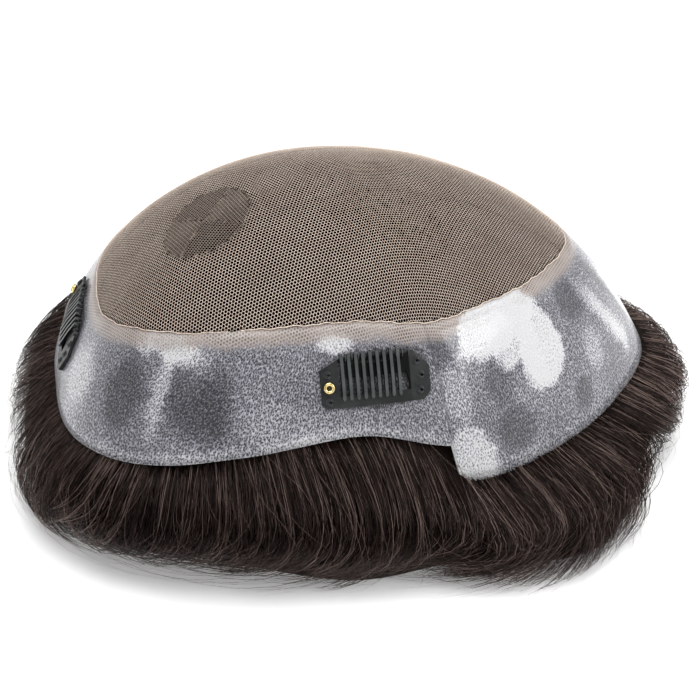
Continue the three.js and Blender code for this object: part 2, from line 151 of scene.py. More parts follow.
# reach: share of the plan oval. edge: full edge above the temple line, as a share of the rise.
# lace: share of the slope that the lace covers. turn: degrees that the slope turns through.
BASE_TABLE = RoundTable(
    ("angle", "reach", "edge", "lace", "turn"),
    (
        (0, 0.995, -0.029, 0.635, 58.6),
        (25, 0.915, -0.011, 0.623, 58.8),
        (50, 0.931, -0.03, 0.607, 59.6),
        (75, 0.991, -0.002, 0.611, 61.1),
        (100, 0.981, 0.13, 0.613, 63.6),
        (125, 1.035, 0.076, 0.592, 68.3),
        (150, 1.065, -0.045, 0.603, 73.3),
        (180, 1.013, -0.105, 0.669, 76.2),
    ),
)

# How far the hair stands out beyond the rim, as shares of the hair's overhang
HAIR_TABLE = RoundTable(
    ("angle", "brow", "belly", "foot"),
    (
        (0, 0.42, 0.64, 0.36),
        (30, 0.38, 0.9, 0.5),
        (60, 0.28, 1, 0.7),
        (90, 0.16, 0.9, 0.72),
        (120, 0.22, 0.8, 0.5),
        (150, 0.32, 0.76, 0.45),
        (180, 0.3, 0.62, 0.72),
    ),
)


@dataclass(frozen=True)
class BaseForm:
    """The outside of the base and of the hair round it, as the solids have them."""

    shift: tuple[float, float] = (0.0, 0.0)
    length: float = 190.0
    width: float = 138.3
    plan_power: float = 2.3
    dome_rise: float = 68.5
    rest_height: float = 21.8
    crown_set_back: float = 4.0
    temple_angle: float = 77.0
    temple_round: float = 0.7
    rear_cut: float = 0.915
    far_lace: float = 0.045
    hair_overhang: float = 22.0
    brow_share: float = 0.94
    eased: tuple[float, float] = (69.0, 85.0)

    @staticmethod
    def table(column: str, angle: np.ndarray) -> np.ndarray:
        """A column of the base's table at each angle."""
        return BASE_TABLE.read(column, angle)

    def lace(self, angle: np.ndarray) -> np.ndarray:
        """Slope of the lace's border, which lies a little lower on the far side."""
        turned = (np.asarray(angle, dtype=float) + 180) % FULL_TURN - 180
        return self.table("lace", angle) + self.far_lace * ease(turned, 40, 80) * (1 - ease(turned, 150, 178))

    def point(self, angle: np.ndarray, slope: np.ndarray) -> np.ndarray:
        """Points of the base's outside.

        Args:
            angle: Degrees round from the front.
            slope: 0 at the crown and 1 at the full edge.

        Returns:
            An array of points in millimetres, with x, y and z last.
        """
        turn = np.radians(self.table("turn", angle))
        across, aside = np.cos(np.radians(angle)), np.sin(np.radians(angle))
        power = self.plan_power
        oval = (np.abs(across / (self.length / 2)) ** power
                + np.abs(aside / (self.width / 2)) ** power) ** (-1 / power)
        reach = oval * self.table("reach", angle)
        out = np.sin(slope * turn) / np.sin(turn)
        down = (1 - np.cos(slope * turn)) / (1 - np.cos(turn))
        fall = self.dome_rise * (1 - self.table("edge", angle)) * down
        x = reach * out * across - self.crown_set_back * (1 - out) + self.shift[0]
        y = reach * out * aside + self.shift[1]
        return np.stack(np.broadcast_arrays(x, y, self.rest_height + self.dome_rise - fall), axis=-1)

    def axes(self, angle: np.ndarray, slope: np.ndarray) -> tuple[np.ndarray, np.ndarray, np.ndarray]:
        """Directions at points of the base: round the rim, up the slope and out.

        Args:
            angle: Degrees round from the front.
            slope: 0 at the crown and 1 at the full edge.

        Returns:
            Three arrays of unit vectors.
        """
        step_angle, step_slope = 0.4, 0.004
        at = np.maximum(slope, step_slope)
        around = unit(self.point(angle + step_angle, at) - self.point(angle - step_angle, at))
        up = unit(self.point(angle, at - step_slope) - self.point(angle, at + step_slope))
        out = unit(np.cross(around, up))
        return around, np.cross(out, around), out

    def raised(self, angle: np.ndarray, slope: np.ndarray, lift: np.ndarray) -> np.ndarray:
        """Points that stand off the base's outside by a height square to it."""
        return self.point(angle, slope) + self.axes(angle, slope)[2] * np.asarray(lift)[..., None]

    def edge(self, angle: np.ndarray) -> np.ndarray:
        """Slope of the cut edge, with its step at each temple."""
        turned = np.abs((np.asarray(angle) + 180) % FULL_TURN - 180)
        half = self.temple_round / 2
        back = ease(turned, self.temple_angle - half, self.temple_angle + half)
        return 1 - (1 - self.rear_cut) * back

    @cached_property
    def runs(self) -> tuple[np.ndarray, np.ndarray]:
        """Length of the base's outside from the crown to the full edge, by angle."""
        angles = np.arange(-180.0, 181.0)
        slopes = np.linspace(0, 1, 60)
        lines = self.point(angles[:, None], slopes[None, :])
        return angles, np.linalg.norm(np.diff(lines, axis=1), axis=-1).sum(axis=1)

    def run(self, angle: np.ndarray) -> np.ndarray:
        """Length from the crown to the full edge at each angle."""
        angles, lengths = self.runs
        return np.interp((np.asarray(angle) + 180) % FULL_TURN - 180, angles, lengths)

    def unroll(self, angle: np.ndarray, slope: np.ndarray) -> np.ndarray:
        """Flat places, in millimetres from the crown, that stand for points of the base."""
        reach = slope * self.run(angle)
        turn = np.radians(angle)
        return np.stack((reach * np.cos(turn), reach * np.sin(turn)), axis=-1)

    def roll(self, flat: np.ndarray) -> tuple[np.ndarray, np.ndarray]:
        """Angle and slope of flat places, the reverse of `unroll`."""
        angle = np.degrees(np.arctan2(flat[..., 1], flat[..., 0]))
        return angle, np.hypot(flat[..., 0], flat[..., 1]) / self.run(angle)

    def level_out(self, angle: np.ndarray) -> np.ndarray:
        """Directions straight out from the rim, level with the floor."""
        around, _, _ = self.axes(angle, self.eased_edge(angle))
        return unit(np.stack((around[..., 1], -around[..., 0], 0 * around[..., 0]), axis=-1))

    def eased_edge(self, angle: np.ndarray) -> np.ndarray:
        """Slope of the line that the hair hangs from, which eases over each temple step."""
        turned = np.abs((np.asarray(angle) + 180) % FULL_TURN - 180)
        return 1 - (1 - self.rear_cut) * ease(turned, *self.eased)

    def stand_out(self, angle: np.ndarray, way: np.ndarray) -> np.ndarray:
        """How far the outside of the hair stands out beyond the rim, in millimetres."""
        brow, belly, foot = (
            HAIR_TABLE.read(name, angle) * self.hair_overhang for name in ("brow", "belly", "foot"))
        return brow * (1 - way) * (1 - 2 * way) + belly * 4 * way * (1 - way) + foot * way * (2 * way - 1)

    def hair(self, angle: np.ndarray, way: np.ndarray, lift: np.ndarray,
             line: np.ndarray | None = None) -> np.ndarray:
        """Points on the outside of the hair.

        Args:
            angle: Degrees round from the front.
            way: 0 just under the rim and 1 at the foot.
            lift: How far the point stands off the outside.
            line: Slope of the line that the hair hangs from, where it isn't the eased one.

        Returns:
            An array of points in millimetres.
        """
        rim = self.point(angle, self.eased_edge(angle) if line is None else line)
        place = rim + self.level_out(angle) * (self.stand_out(angle, way) + lift)[..., None]
        height = rim[..., 2] * self.brow_share * (1 - way)
        return np.concatenate((place[..., :2], height[..., None]), axis=-1)


# Meshes


def finish_mesh(name: str, mesh: bpy.types.Mesh, finish: bpy.types.Material,
                nodes: tuple[str, ...]) -> bpy.types.Object:
    """Puts a mesh in the scene as a piece of the part.

    Args:
        name: The piece's name.
        mesh: Its mesh, in metres.
        finish: Its material.
        nodes: The solids that it stands for.

    Returns:
        The new object.
    """
    mesh.name = name
    mesh.materials.append(finish)
    piece = bpy.data.objects.new(name, mesh)
    bpy.context.scene.collection.objects.link(piece)
    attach(piece, BODY)
    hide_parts(*nodes)
    log.info("%s: %d faces", name, len(mesh.polygons))
    return piece


def mesh_from_arrays(name: str, points: np.ndarray, faces: list[np.ndarray],
                     maps: dict[str, np.ndarray]) -> bpy.types.Mesh:
    """Joins many small repeated shapes into one mesh.

    Args:
        name: The mesh's name.
        points: Its points, in millimetres.
        faces: Arrays of faces, each with as many corners as it has columns.
        maps: UV maps by name, with a place for each point.

    Returns:
        The mesh, in metres and shaded smooth.
    """
    mesh = bpy.data.meshes.new(name)
    mesh.vertices.add(len(points))
    mesh.vertices.foreach_set("co", (points * MM).astype(np.float32).ravel())
    corners = np.concatenate([group.ravel() for group in faces]).astype(np.int32)
    sizes = np.concatenate([np.full(len(group), group.shape[1]) for group in faces])
    starts = np.concatenate(([0], np.cumsum(sizes)[:-1])).astype(np.int32)
    mesh.loops.add(len(corners))
    mesh.loops.foreach_set("vertex_index", corners)
    mesh.polygons.add(len(sizes))
    mesh.polygons.foreach_set("loop_start", starts)
    mesh.polygons.foreach_set("use_smooth", np.ones(len(sizes), dtype=bool))
    for title, places in maps.items():
        layer = mesh.uv_layers.new(name=title)
        layer.uv.foreach_set("vector", places[corners].astype(np.float32).ravel())
    mesh.update(calc_edges=True)
    mesh.validate()
    return mesh


def mesh_from_bmesh(name: str, bm: bmesh.types.BMesh) -> bpy.types.Mesh:
    """Ends the work on a shape and keeps it as a mesh."""
    mesh = bpy.data.meshes.new(name)
    bm.to_mesh(mesh)
    bm.free()
    return mesh


def wrap_grid(name: str, bm: bmesh.types.BMesh, places: np.ndarray,
              maps: dict[str, np.ndarray]) -> bpy.types.Mesh:
    """Wraps a flat grid into its shape and closes it where its sides meet.

    Args:
        name: The mesh's name.
        bm: The flat grid.
        places: Where each of its points goes, in millimetres.
        maps: UV maps by name, with a place for each point.

    Returns:
        The mesh, shaded smooth.
    """
    layers = [(bm.loops.layers.uv.new(title), values) for title, values in maps.items()]
    for face in bm.faces:
        face.smooth = True
        for loop in face.loops:
            for layer, values in layers:
                loop[layer].uv = values[loop.vert.index]
    for vert, place in zip(bm.verts, places * MM):
        vert.co = place
    bmesh.ops.remove_doubles(bm, verts=bm.verts, dist=0.01 * MM)
    bmesh.ops.recalc_face_normals(bm, faces=bm.faces)
    return mesh_from_bmesh(name, bm)


def tube_mesh(name: str, paths: np.ndarray, radii: np.ndarray, sides: int,
              shades: np.ndarray) -> bpy.types.Mesh:
    """Closed tubes along many paths at once.

    Args:
        name: The mesh's name.
        paths: The paths, as tubes by points by x, y and z.
        radii: The radius at each point of each path.
        sides: Faces round a tube.
        shades: One number from 0 to 1 for each tube, kept as the map's first value.

    Returns:
        The mesh. Its map's second value runs from root to tip.
    """
    count, steps, _ = paths.shape
    along = unit(np.gradient(paths, axis=1))
    start = np.where(np.abs(along[:, :1, 2:]) < 0.9, np.array([0.0, 0.0, 1.0]), np.array([1.0, 0.0, 0.0]))
    first = unit(np.cross(along, start))
    second = np.cross(along, first)
    turns = 2 * np.pi * np.arange(sides) / sides
    rings = (paths[:, :, None] + radii[:, :, None, None] * (
        np.cos(turns)[:, None] * first[:, :, None] + np.sin(turns)[:, None] * second[:, :, None]))
    numbers = np.arange(count * steps * sides).reshape(count, steps, sides)
    onward = np.roll(numbers, -1, axis=2)
    walls = np.stack((numbers[:, :-1], onward[:, :-1], onward[:, 1:], numbers[:, 1:]), axis=-1)
    caps = [numbers[:, 0, ::-1], numbers[:, -1]]
    shade = np.broadcast_to(shades[:, None, None], numbers.shape)
    length = np.broadcast_to(np.linspace(0, 1, steps)[None, :, None], numbers.shape)
    places = np.stack((shade, length), axis=-1).reshape(-1, 2)
    return mesh_from_arrays(name, rings.reshape(-1, 3), [walls.reshape(-1, 4), *caps], {"strand": places})


# Finishes


def add_node(tree: bpy.types.NodeTree, kind: str, settings: dict[str | int, Setting] | None = None,
             links: dict[str | int, Source] | None = None) -> bpy.types.Node:
    """Adds a node with its settings and links.

    Args:
        tree: The material's node tree.
        kind: The node's type, without "ShaderNode".
        settings: Values by property or input name. "stops" are a colour ramp's places and colours.
        links: Sockets, or nodes for their first output, by the input that they feed.

    Returns:
        The node.
    """
    node = tree.nodes.new(f"ShaderNode{kind}")
    for name, value in (settings or {}).items():
        if name == "stops":
            while len(node.color_ramp.elements) < len(value):
                node.color_ramp.elements.new(1.0)
            for element, (place, colour) in zip(node.color_ramp.elements, value):
                element.position = place
                element.color = linear(colour)
        elif isinstance(name, str) and hasattr(node, name):
            setattr(node, name, value)
        else:
            node.inputs[name].default_value = value
    for name, source in (links or {}).items():
        socket = source.outputs[0] if isinstance(source, bpy.types.Node) else source
        tree.links.new(socket, node.inputs[name])
    return node


def start_finish(name: str) -> tuple[bpy.types.Material, bpy.types.NodeTree]:
    """Starts a material with an empty tree."""
    material = bpy.data.materials.new(name)
    material.use_nodes = True
    material.node_tree.nodes.clear()
    return material, material.node_tree


def add_shader(tree: bpy.types.NodeTree, settings: dict[str, Setting],
               links: dict[str, Source] | None = None) -> None:
    """Ends a material with its shader.

    Args:
        tree: The material's node tree.
        settings: Values for the sockets that are the same all over.
        links: What feeds the other sockets.
    """
    shader = add_node(tree, "BsdfPrincipled", settings, links)
    add_node(tree, "OutputMaterial", None, {"Surface": shader})


@dataclass(frozen=True)
class NetFinish:
    """Monofilament net: dull polyester thread, dyed to a skin tone and paler where it is worn."""

    name: str = "monofilament_net"
    thread: str = "#c3ac9c"
    pale: str = "#fbecde"
    patch: float = 9.0
    fibre: float = 0.35

    def make(self) -> bpy.types.Material:
        """Builds the material."""
        material, tree = start_finish(self.name)
        place = add_node(tree, "TexCoord").outputs["Object"]
        cloud = add_node(tree, "TexNoise", {"Scale": per_metre(self.patch), "Detail": 3.0}, {"Vector": place})
        twist = add_node(tree, "TexNoise", {"Scale": per_metre(self.fibre), "Detail": 2.0}, {"Vector": place})
        mixed = add_node(tree, "Math", {"operation": "MULTIPLY_ADD", 1: 0.35}, {0: cloud, 2: twist})
        ramp = add_node(tree, "ValToRGB", {"stops": ((0.45, self.thread), (0.9, self.pale))}, {"Fac": mixed})
        bump = add_node(tree, "Bump", {"Strength": 0.3, "Distance": 0.05 * MM}, {"Height": twist})
        add_shader(tree, {"Roughness": 0.62, "Sheen Weight": 0.28, "Sheen Roughness": 0.5,
                          "Sheen Tint": linear(self.pale)}, {"Base Color": ramp, "Normal": bump})
        return material


@dataclass(frozen=True)
class HazeAndPaintedLight:
    """A paler or darker patch of the film, by its middle, half sizes in millimetres, turn and tone. Pale
    patches are partly cloudy film and partly painted reflections of the lamps; dark patches are clearer film,
    and under the clips painted shadow.
    """

    angle: float
    slope: float
    long: float
    wide: float
    turn: float
    tone: float
    soft: float = 0.6


@dataclass(frozen=True)
class SkinFinish:
    """Cast polyurethane film: glossy and clear, grey-blue over dark hair, with a dot at each root. Some of its
    pale patches are painted reflections of the lamps, and its dark patches under the clips are painted shadow.

    Its maps hold millimetres divided by `map_span`: "flat" is the place on the unrolled base,
    "edges" the distance from the lace and from the cut edge, and "comb" the length round the
    rim and the distance from it.
    """

    name: str = "cast_clear_film"
    tones: tuple[tuple[float, str], ...] = (
        (0.0, "#26262d"), (0.25, "#4d4d56"), (0.5, "#7d7d86"), (0.75, "#acacb3"), (1.0, "#cfcfd1"))
    root: str = "#0d0c10"
    glint: str = "#d6d6dc"
    coat_thread: str = "#ada098"
    coat_hole: str = "#3f3734"
    coat_wander: float = 5.0
    plain_tone: float = 0.42
    root_gap: float = 0.66
    root_length: float = 0.86
    ragged_by: float = 6.0
    coat_width: float = 5.0
    map_span: float = 100.0
    lace_pitch: float = 1.0
    lace_row: float = 0.9

    def make(self, form: BaseForm, patches: tuple[HazeAndPaintedLight, ...]) -> bpy.types.Material:
        """Builds the material.

        Args:
            form: The base, which says where a patch lies on the unrolled film.
            patches: The cloudy and the clear patches, the painted reflections of the lamps and the painted
                shadow under the clips.

        Returns:
            The material.
        """
        material, tree = start_finish(self.name)
        place = add_node(tree, "TexCoord").outputs["Object"]
        flat = add_node(tree, "UVMap", {"uv_map": "flat"})
        comb = add_node(tree, "UVMap", {"uv_map": "comb"})
        edges = add_node(tree, "SeparateXYZ", None, {"Vector": add_node(tree, "UVMap", {"uv_map": "edges"})})
        rows = add_node(tree, "Mapping", {
            "Scale": (self.map_span / self.root_gap, self.map_span / self.root_length, 1.0)}, {"Vector": comb})
        roots = add_node(tree, "TexVoronoi", {
            "voronoi_dimensions": "2D", "Scale": 1.0, "Randomness": 0.95}, {"Vector": rows})
        patched = self._patched(tree, place, flat, form, patches)
        tone = self._tone(tree, place, comb, edges, roots, patched)
        film = self._film(tree, rows, roots, tone)
        drift = add_node(tree, "TexNoise", {"Scale": per_metre(7.0), "Detail": 4.0}, {"Vector": place})
        drifted = add_node(tree, "Math", {
            "operation": "MULTIPLY_ADD", 1: self.coat_wander / self.map_span},
            {0: drift, 2: edges.outputs["X"]})
        fray = add_node(tree, "Math", {"operation": "MULTIPLY_ADD", 1: 1.8 / self.map_span},
                        {0: roots.outputs["Distance"], 2: drifted})
        reach = self.coat_width + self.coat_wander / 2
        seen = add_node(tree, "MapRange", {
            "interpolation_type": "SMOOTHSTEP", "From Min": 1.25, "From Max": 0.85, "To Max": 0.85},
            {"Value": patched})
        in_coat = add_node(tree, "MapRange", {
            "interpolation_type": "SMOOTHSTEP", "From Min": (reach + 2.2) / self.map_span,
            "From Max": (reach - 1.4) / self.map_span}, {"Value": fray})
        in_coat = add_node(tree, "Math", {"operation": "MULTIPLY"}, {0: in_coat, 1: seen})
        colour = add_node(tree, "Mix", {"data_type": "RGBA"},
                          {0: in_coat, 6: film, 7: self._coated_lace(tree, flat, drift)})
        bump = add_node(tree, "Bump", {"Strength": 0.7, "Distance": 0.25 * MM},
                        {"Height": roots.outputs["Distance"]})
        smear = add_node(tree, "TexNoise", {"Scale": per_metre(7.0), "Detail": 3.0}, {"Vector": place})
        rough = add_node(tree, "MapRange", {"To Min": 0.22, "To Max": 0.45}, {"Value": smear})
        add_shader(tree, {"IOR": 1.5, "Coat Weight": 0.5, "Coat Roughness": 0.12, "Coat IOR": 1.5},
                   {"Base Color": colour.outputs[2], "Normal": bump, "Roughness": rough})
        return material

    def _patched(self, tree: bpy.types.NodeTree, place: Source, flat: Source,
                 form: BaseForm, patches: tuple[HazeAndPaintedLight, ...]) -> Source:
        """How pale the film is from place to place, from a soft cloud and its ragged patches: cloudy film,
        painted reflections of the lamps and painted shadow under the clips.
        """
        cloud = add_node(tree, "TexNoise", {
            "Scale": per_metre(14.0), "Detail": 4.0, "Roughness": 0.6}, {"Vector": place})
        tone = add_node(tree, "MapRange", {
            "To Min": self.plain_tone - 0.24, "To Max": self.plain_tone + 0.24},
            {"Value": cloud})
        eddy = add_node(tree, "TexNoise", {
            "Scale": per_metre(9.0), "Detail": 6.0, "Roughness": 0.75}, {"Vector": place})
        pull = add_node(tree, "VectorMath", {
            "operation": "MULTIPLY_ADD", 1: (2 * self.ragged_by / self.map_span,) * 3,
            2: (-self.ragged_by / self.map_span,) * 3}, {0: eddy.outputs["Color"]})
        ragged = add_node(tree, "VectorMath", {"operation": "ADD"}, {0: flat, 1: pull})
        for patch in patches:
            middle = form.unroll(np.array(patch.angle), np.array(patch.slope)) / self.map_span
            local = add_node(tree, "Mapping", {
                "vector_type": "TEXTURE", "Location": (*middle, 0.0),
                "Rotation": (0.0, 0.0, math.radians(patch.angle + patch.turn)),
                "Scale": (patch.wide / self.map_span, patch.long / self.map_span, 1.0)},
                {"Vector": ragged})
            ball = add_node(tree, "TexGradient", {"gradient_type": "SPHERICAL"}, {"Vector": local})
            mask = add_node(tree, "MapRange", {
                "interpolation_type": "SMOOTHSTEP", "From Max": patch.soft, "To Max": patch.tone},
                {"Value": ball.outputs["Fac"]})
            tone = add_node(tree, "Math", {"operation": "ADD"}, {0: tone, 1: mask})
        return tone

    def _tone(self, tree: bpy.types.NodeTree, place: Source, comb: Source,
              edges: bpy.types.Node, roots: bpy.types.Node, patched: Source) -> Source:
        """The patches with a speckle over them, streaks down to the rim and the pale rim itself."""
        grain = add_node(tree, "TexNoise", {"Scale": per_metre(0.42), "Detail": 3.0}, {"Vector": place})
        speckle = add_node(tree, "MapRange", {"To Min": -0.7, "To Max": 0.7}, {"Value": grain})
        ring = add_node(tree, "MapRange", {
            "From Max": 0.8, "To Min": -0.16, "To Max": 0.16}, {"Value": roots.outputs["Distance"]})
        rim = add_node(tree, "MapRange", {
            "interpolation_type": "SMOOTHSTEP",
            "From Min": 4.2 / self.map_span, "From Max": 0.8 / self.map_span,
            "To Max": 0.24}, {"Value": edges.outputs["Y"]})
        line = add_node(tree, "MapRange", {
            "interpolation_type": "SMOOTHSTEP",
            "From Min": 0.7 / self.map_span, "From Max": 0.1 / self.map_span,
            "To Max": 0.16}, {"Value": edges.outputs["Y"]})
        drawn = add_node(tree, "Mapping", {
            "Scale": (self.map_span / 0.6, self.map_span / 6.0, 1.0)}, {"Vector": comb})
        dashes = add_node(tree, "TexNoise", {"Scale": 1.0, "Detail": 2.0}, {"Vector": drawn})
        near_rim = add_node(tree, "MapRange", {
            "interpolation_type": "SMOOTHSTEP",
            "From Min": 8.0 / self.map_span, "From Max": 1.0 / self.map_span,
            "To Max": 0.9}, {"Value": edges.outputs["Y"]})
        centred = add_node(tree, "Math", {"operation": "SUBTRACT", 1: 0.47}, {0: dashes})
        streak = add_node(tree, "Math", {"operation": "MULTIPLY"}, {0: centred, 1: near_rim})
        for part in (speckle, ring, rim, line, streak):
            patched = add_node(tree, "Math", {"operation": "ADD"}, {0: patched, 1: part})
        return patched

    def _film(self, tree: bpy.types.NodeTree, rows: bpy.types.Node, roots: bpy.types.Node,
              tone: Source) -> Source:
        """Colour of the clear film, with its roots and the glints between them."""
        body = add_node(tree, "ValToRGB", {"stops": self.tones}, {"Fac": tone})
        dot = add_node(tree, "MapRange", {
            "interpolation_type": "SMOOTHSTEP", "From Min": 0.42, "From Max": 0.2, "To Max": 0.9},
            {"Value": roots.outputs["Distance"]})
        clear = add_node(tree, "MapRange", {
            "From Min": 1.15, "From Max": 0.5, "To Min": 0.1}, {"Value": tone})
        shown = add_node(tree, "Math", {"operation": "MULTIPLY"}, {0: dot, 1: clear})
        dotted = add_node(tree, "Mix", {"data_type": "RGBA", 7: linear(self.root)}, {0: shown, 6: body})
        specks = add_node(tree, "TexVoronoi", {
            "voronoi_dimensions": "2D", "Scale": 0.83, "Randomness": 1.0}, {"Vector": rows})
        bright = add_node(tree, "MapRange", {"From Min": 0.3, "From Max": 0.06, "To Max": 0.22},
                          {"Value": specks.outputs["Distance"]})
        speckled = add_node(tree, "Mix", {"data_type": "RGBA", 7: linear(self.glint)},
                            {0: bright, 6: dotted.outputs[2]})
        return speckled.outputs[2]

    def _coated_lace(self, tree: bpy.types.NodeTree, flat: Source,
                     drift: bpy.types.Node) -> Source:
        """Colour of the lace that runs on under the film, as three crossed waves of the lace's own pitch."""
        across, along = self.map_span / self.lace_pitch, self.map_span / (2 * self.lace_row)
        waves = []
        for x, y in ((0.0, 2 * along), (across, along), (across, -along)):
            turned = add_node(tree, "VectorMath", {
                "operation": "DOT_PRODUCT", 1: (2 * math.pi * x, 2 * math.pi * y, 0.0)}, {0: flat})
            waves.append(add_node(tree, "Math", {"operation": "COSINE"}, {0: turned.outputs["Value"]}))
        two = add_node(tree, "Math", {"operation": "ADD"}, {0: waves[0], 1: waves[1]})
        three = add_node(tree, "Math", {"operation": "ADD"}, {0: two, 1: waves[2]})
        hole = add_node(tree, "MapRange", {
            "interpolation_type": "SMOOTHSTEP", "From Min": -0.6, "From Max": 1.2}, {"Value": three})
        filled = add_node(tree, "MapRange", {"From Min": 0.35, "From Max": 0.6, "To Min": 1.0, "To Max": 0.45},
                          {"Value": drift})
        open_hole = add_node(tree, "Math", {"operation": "MULTIPLY"}, {0: hole, 1: filled})
        colour = add_node(tree, "Mix", {
            "data_type": "RGBA", 6: linear(self.coat_thread), 7: linear(self.coat_hole)}, {0: open_hole})
        return colour.outputs[2]


@dataclass(frozen=True)
class HairFinish:
    """Dark brown human hair: a smooth cuticle with a soft long highlight, paler and warmer at the tips.

    The map "strand" holds a shade for each strand and the share of its length. `strand_seed`
    sets strands apart, `glints` is their number along a strand and `catch` how bright they are.
    """

    name: str = "dark_human_hair"
    deep: str = "#080404"
    brown: str = "#1f1412"
    warm: str = "#806e67"
    gloss: str = "#ccb5ad"
    roughness: float = 0.34
    strand_seed: float = 90.0
    glints: float = 5.0
    catch: float = 1.1

    def make(self) -> bpy.types.Material:
        """Builds the material."""
        material, tree = start_finish(self.name)
        laid = add_node(tree, "UVMap", {"uv_map": "strand"})
        strand = add_node(tree, "SeparateXYZ", None, {"Vector": laid})
        drawn = add_node(tree, "Mapping", {"Scale": (self.strand_seed, self.glints, 1.0)}, {"Vector": laid})
        catch = add_node(tree, "TexNoise", {"Scale": 1.0, "Detail": 1.0}, {"Vector": drawn})
        caught = add_node(tree, "Math", {"operation": "MULTIPLY_ADD", 1: self.catch, 2: -self.catch / 2},
                          {0: catch})
        lit = add_node(tree, "Math", {"operation": "ADD"}, {0: strand.outputs["X"], 1: caught})
        shade = add_node(tree, "ValToRGB", {
            "stops": ((0.0, self.deep), (0.6, self.brown), (1.0, self.warm))}, {"Fac": lit})
        tip = add_node(tree, "MapRange", {"From Min": 0.55, "From Max": 1.0, "To Max": 0.14},
                       {"Value": strand.outputs["Y"]})
        colour = add_node(tree, "Mix", {"data_type": "RGBA", 7: linear(self.warm)}, {0: tip, 6: shade})
        add_shader(tree, {"Roughness": self.roughness, "IOR": 1.55, "Specular IOR Level": 0.4,
                          "Specular Tint": linear(self.gloss)}, {"Base Color": colour.outputs[2]})
        return material


@dataclass(frozen=True)
class HairDepthFinish:
    """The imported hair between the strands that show: nearly black, with fine grooves down it."""

    name: str = "packed_hair"
    deep: str = "#0a0605"
    brown: str = "#1d1411"
    groove: float = 0.6

    def make(self) -> bpy.types.Material:
        """Builds the material."""
        material, tree = start_finish(self.name)
        flow = add_node(tree, "UVMap", {"uv_map": "flow"})
        comb = add_node(tree, "Mapping", {"Scale": (per_metre(self.groove), per_metre(18.0), 1.0)},
                        {"Vector": flow})
        streaks = add_node(tree, "TexNoise", {"Scale": 1.0, "Detail": 3.0}, {"Vector": comb})
        ramp = add_node(tree, "ValToRGB", {"stops": ((0.35, self.deep), (0.75, self.brown))}, {"Fac": streaks})
        bump = add_node(tree, "Bump", {"Strength": 0.8, "Distance": 0.3 * MM}, {"Height": streaks})
        add_shader(tree, {"Roughness": 0.8, "Specular IOR Level": 0.05}, {"Base Color": ramp, "Normal": bump})
        return material


@dataclass(frozen=True)
class LacquerFinish:
    """Stoved lacquer on spring steel: dull black, greyer where fingers and threads rub it. Its lighter copy on
    the clips' tooth tops is painted highlight, and its near-black copy between the teeth is painted shade.
    """

    name: str = "stoved_lacquer"
    black: str = "#131515"
    wear_and_highlight: str = "#2c2f2e"
    gloss: float = 0.35
    grain: float = 0.7

    def make(self) -> bpy.types.Material:
        """Builds the material."""
        material, tree = start_finish(self.name)
        place = add_node(tree, "TexCoord").outputs["Object"]
        cloud = add_node(tree, "TexNoise", {"Scale": per_metre(5.0), "Detail": 4.0}, {"Vector": place})
        grain = add_node(tree, "TexNoise", {"Scale": per_metre(self.grain), "Detail": 2.0}, {"Vector": place})
        ramp = add_node(tree, "ValToRGB", {"stops": ((0.4, self.black), (0.75, self.wear_and_highlight))}, {"Fac": cloud})
        rough = add_node(tree, "MapRange", {"To Min": 0.32, "To Max": 0.55}, {"Value": grain})
        bump = add_node(tree, "Bump", {"Strength": 0.15, "Distance": 0.05 * MM}, {"Height": grain})
        add_shader(tree, {"IOR": 1.5, "Specular IOR Level": self.gloss},
                   {"Base Color": ramp, "Roughness": rough, "Normal": bump})
        return material


@dataclass(frozen=True)
class BrassFinish:
    """Tumbled brass: bright yellow metal with faint handling marks."""

    name: str = "tumbled_brass"
    bright: str = "#fbeebc"
    dull: str = "#dcbf70"

    def make(self) -> bpy.types.Material:
        """Builds the material."""
        material, tree = start_finish(self.name)
        place = add_node(tree, "TexCoord").outputs["Object"]
        marks = add_node(tree, "TexNoise", {"Scale": per_metre(0.8), "Detail": 3.0}, {"Vector": place})
        ramp = add_node(tree, "ValToRGB", {"stops": ((0.35, self.dull), (0.65, self.bright))}, {"Fac": marks})
        rough = add_node(tree, "MapRange", {"To Min": 0.12, "To Max": 0.3}, {"Value": marks})
        add_shader(tree, {"Metallic": 1.0}, {"Base Color": ramp, "Roughness": rough})
        return material


@dataclass(frozen=True)
class SewingThreadFinish:
    """Bonded nylon sewing thread: black with a waxy shine and a fine twist."""

    name: str = "bonded_sewing_thread"
    black: str = "#17181a"
    worn: str = "#45494b"

    def make(self) -> bpy.types.Material:
        """Builds the material."""
        material, tree = start_finish(self.name)
        place = add_node(tree, "TexCoord").outputs["Object"]
        twist = add_node(tree, "TexWave", {"Scale": per_metre(1.2), "Distortion": 1.5}, {"Vector": place})
        ramp = add_node(tree, "ValToRGB", {"stops": ((0.3, self.black), (1.0, self.worn))},
                        {"Fac": twist.outputs["Color"]})
        bump = add_node(tree, "Bump", {"Strength": 0.4, "Distance": 0.05 * MM},
                        {"Height": twist.outputs["Fac"]})
        add_shader(tree, {"Roughness": 0.38}, {"Base Color": ramp, "Normal": bump})
        return material


# The lace


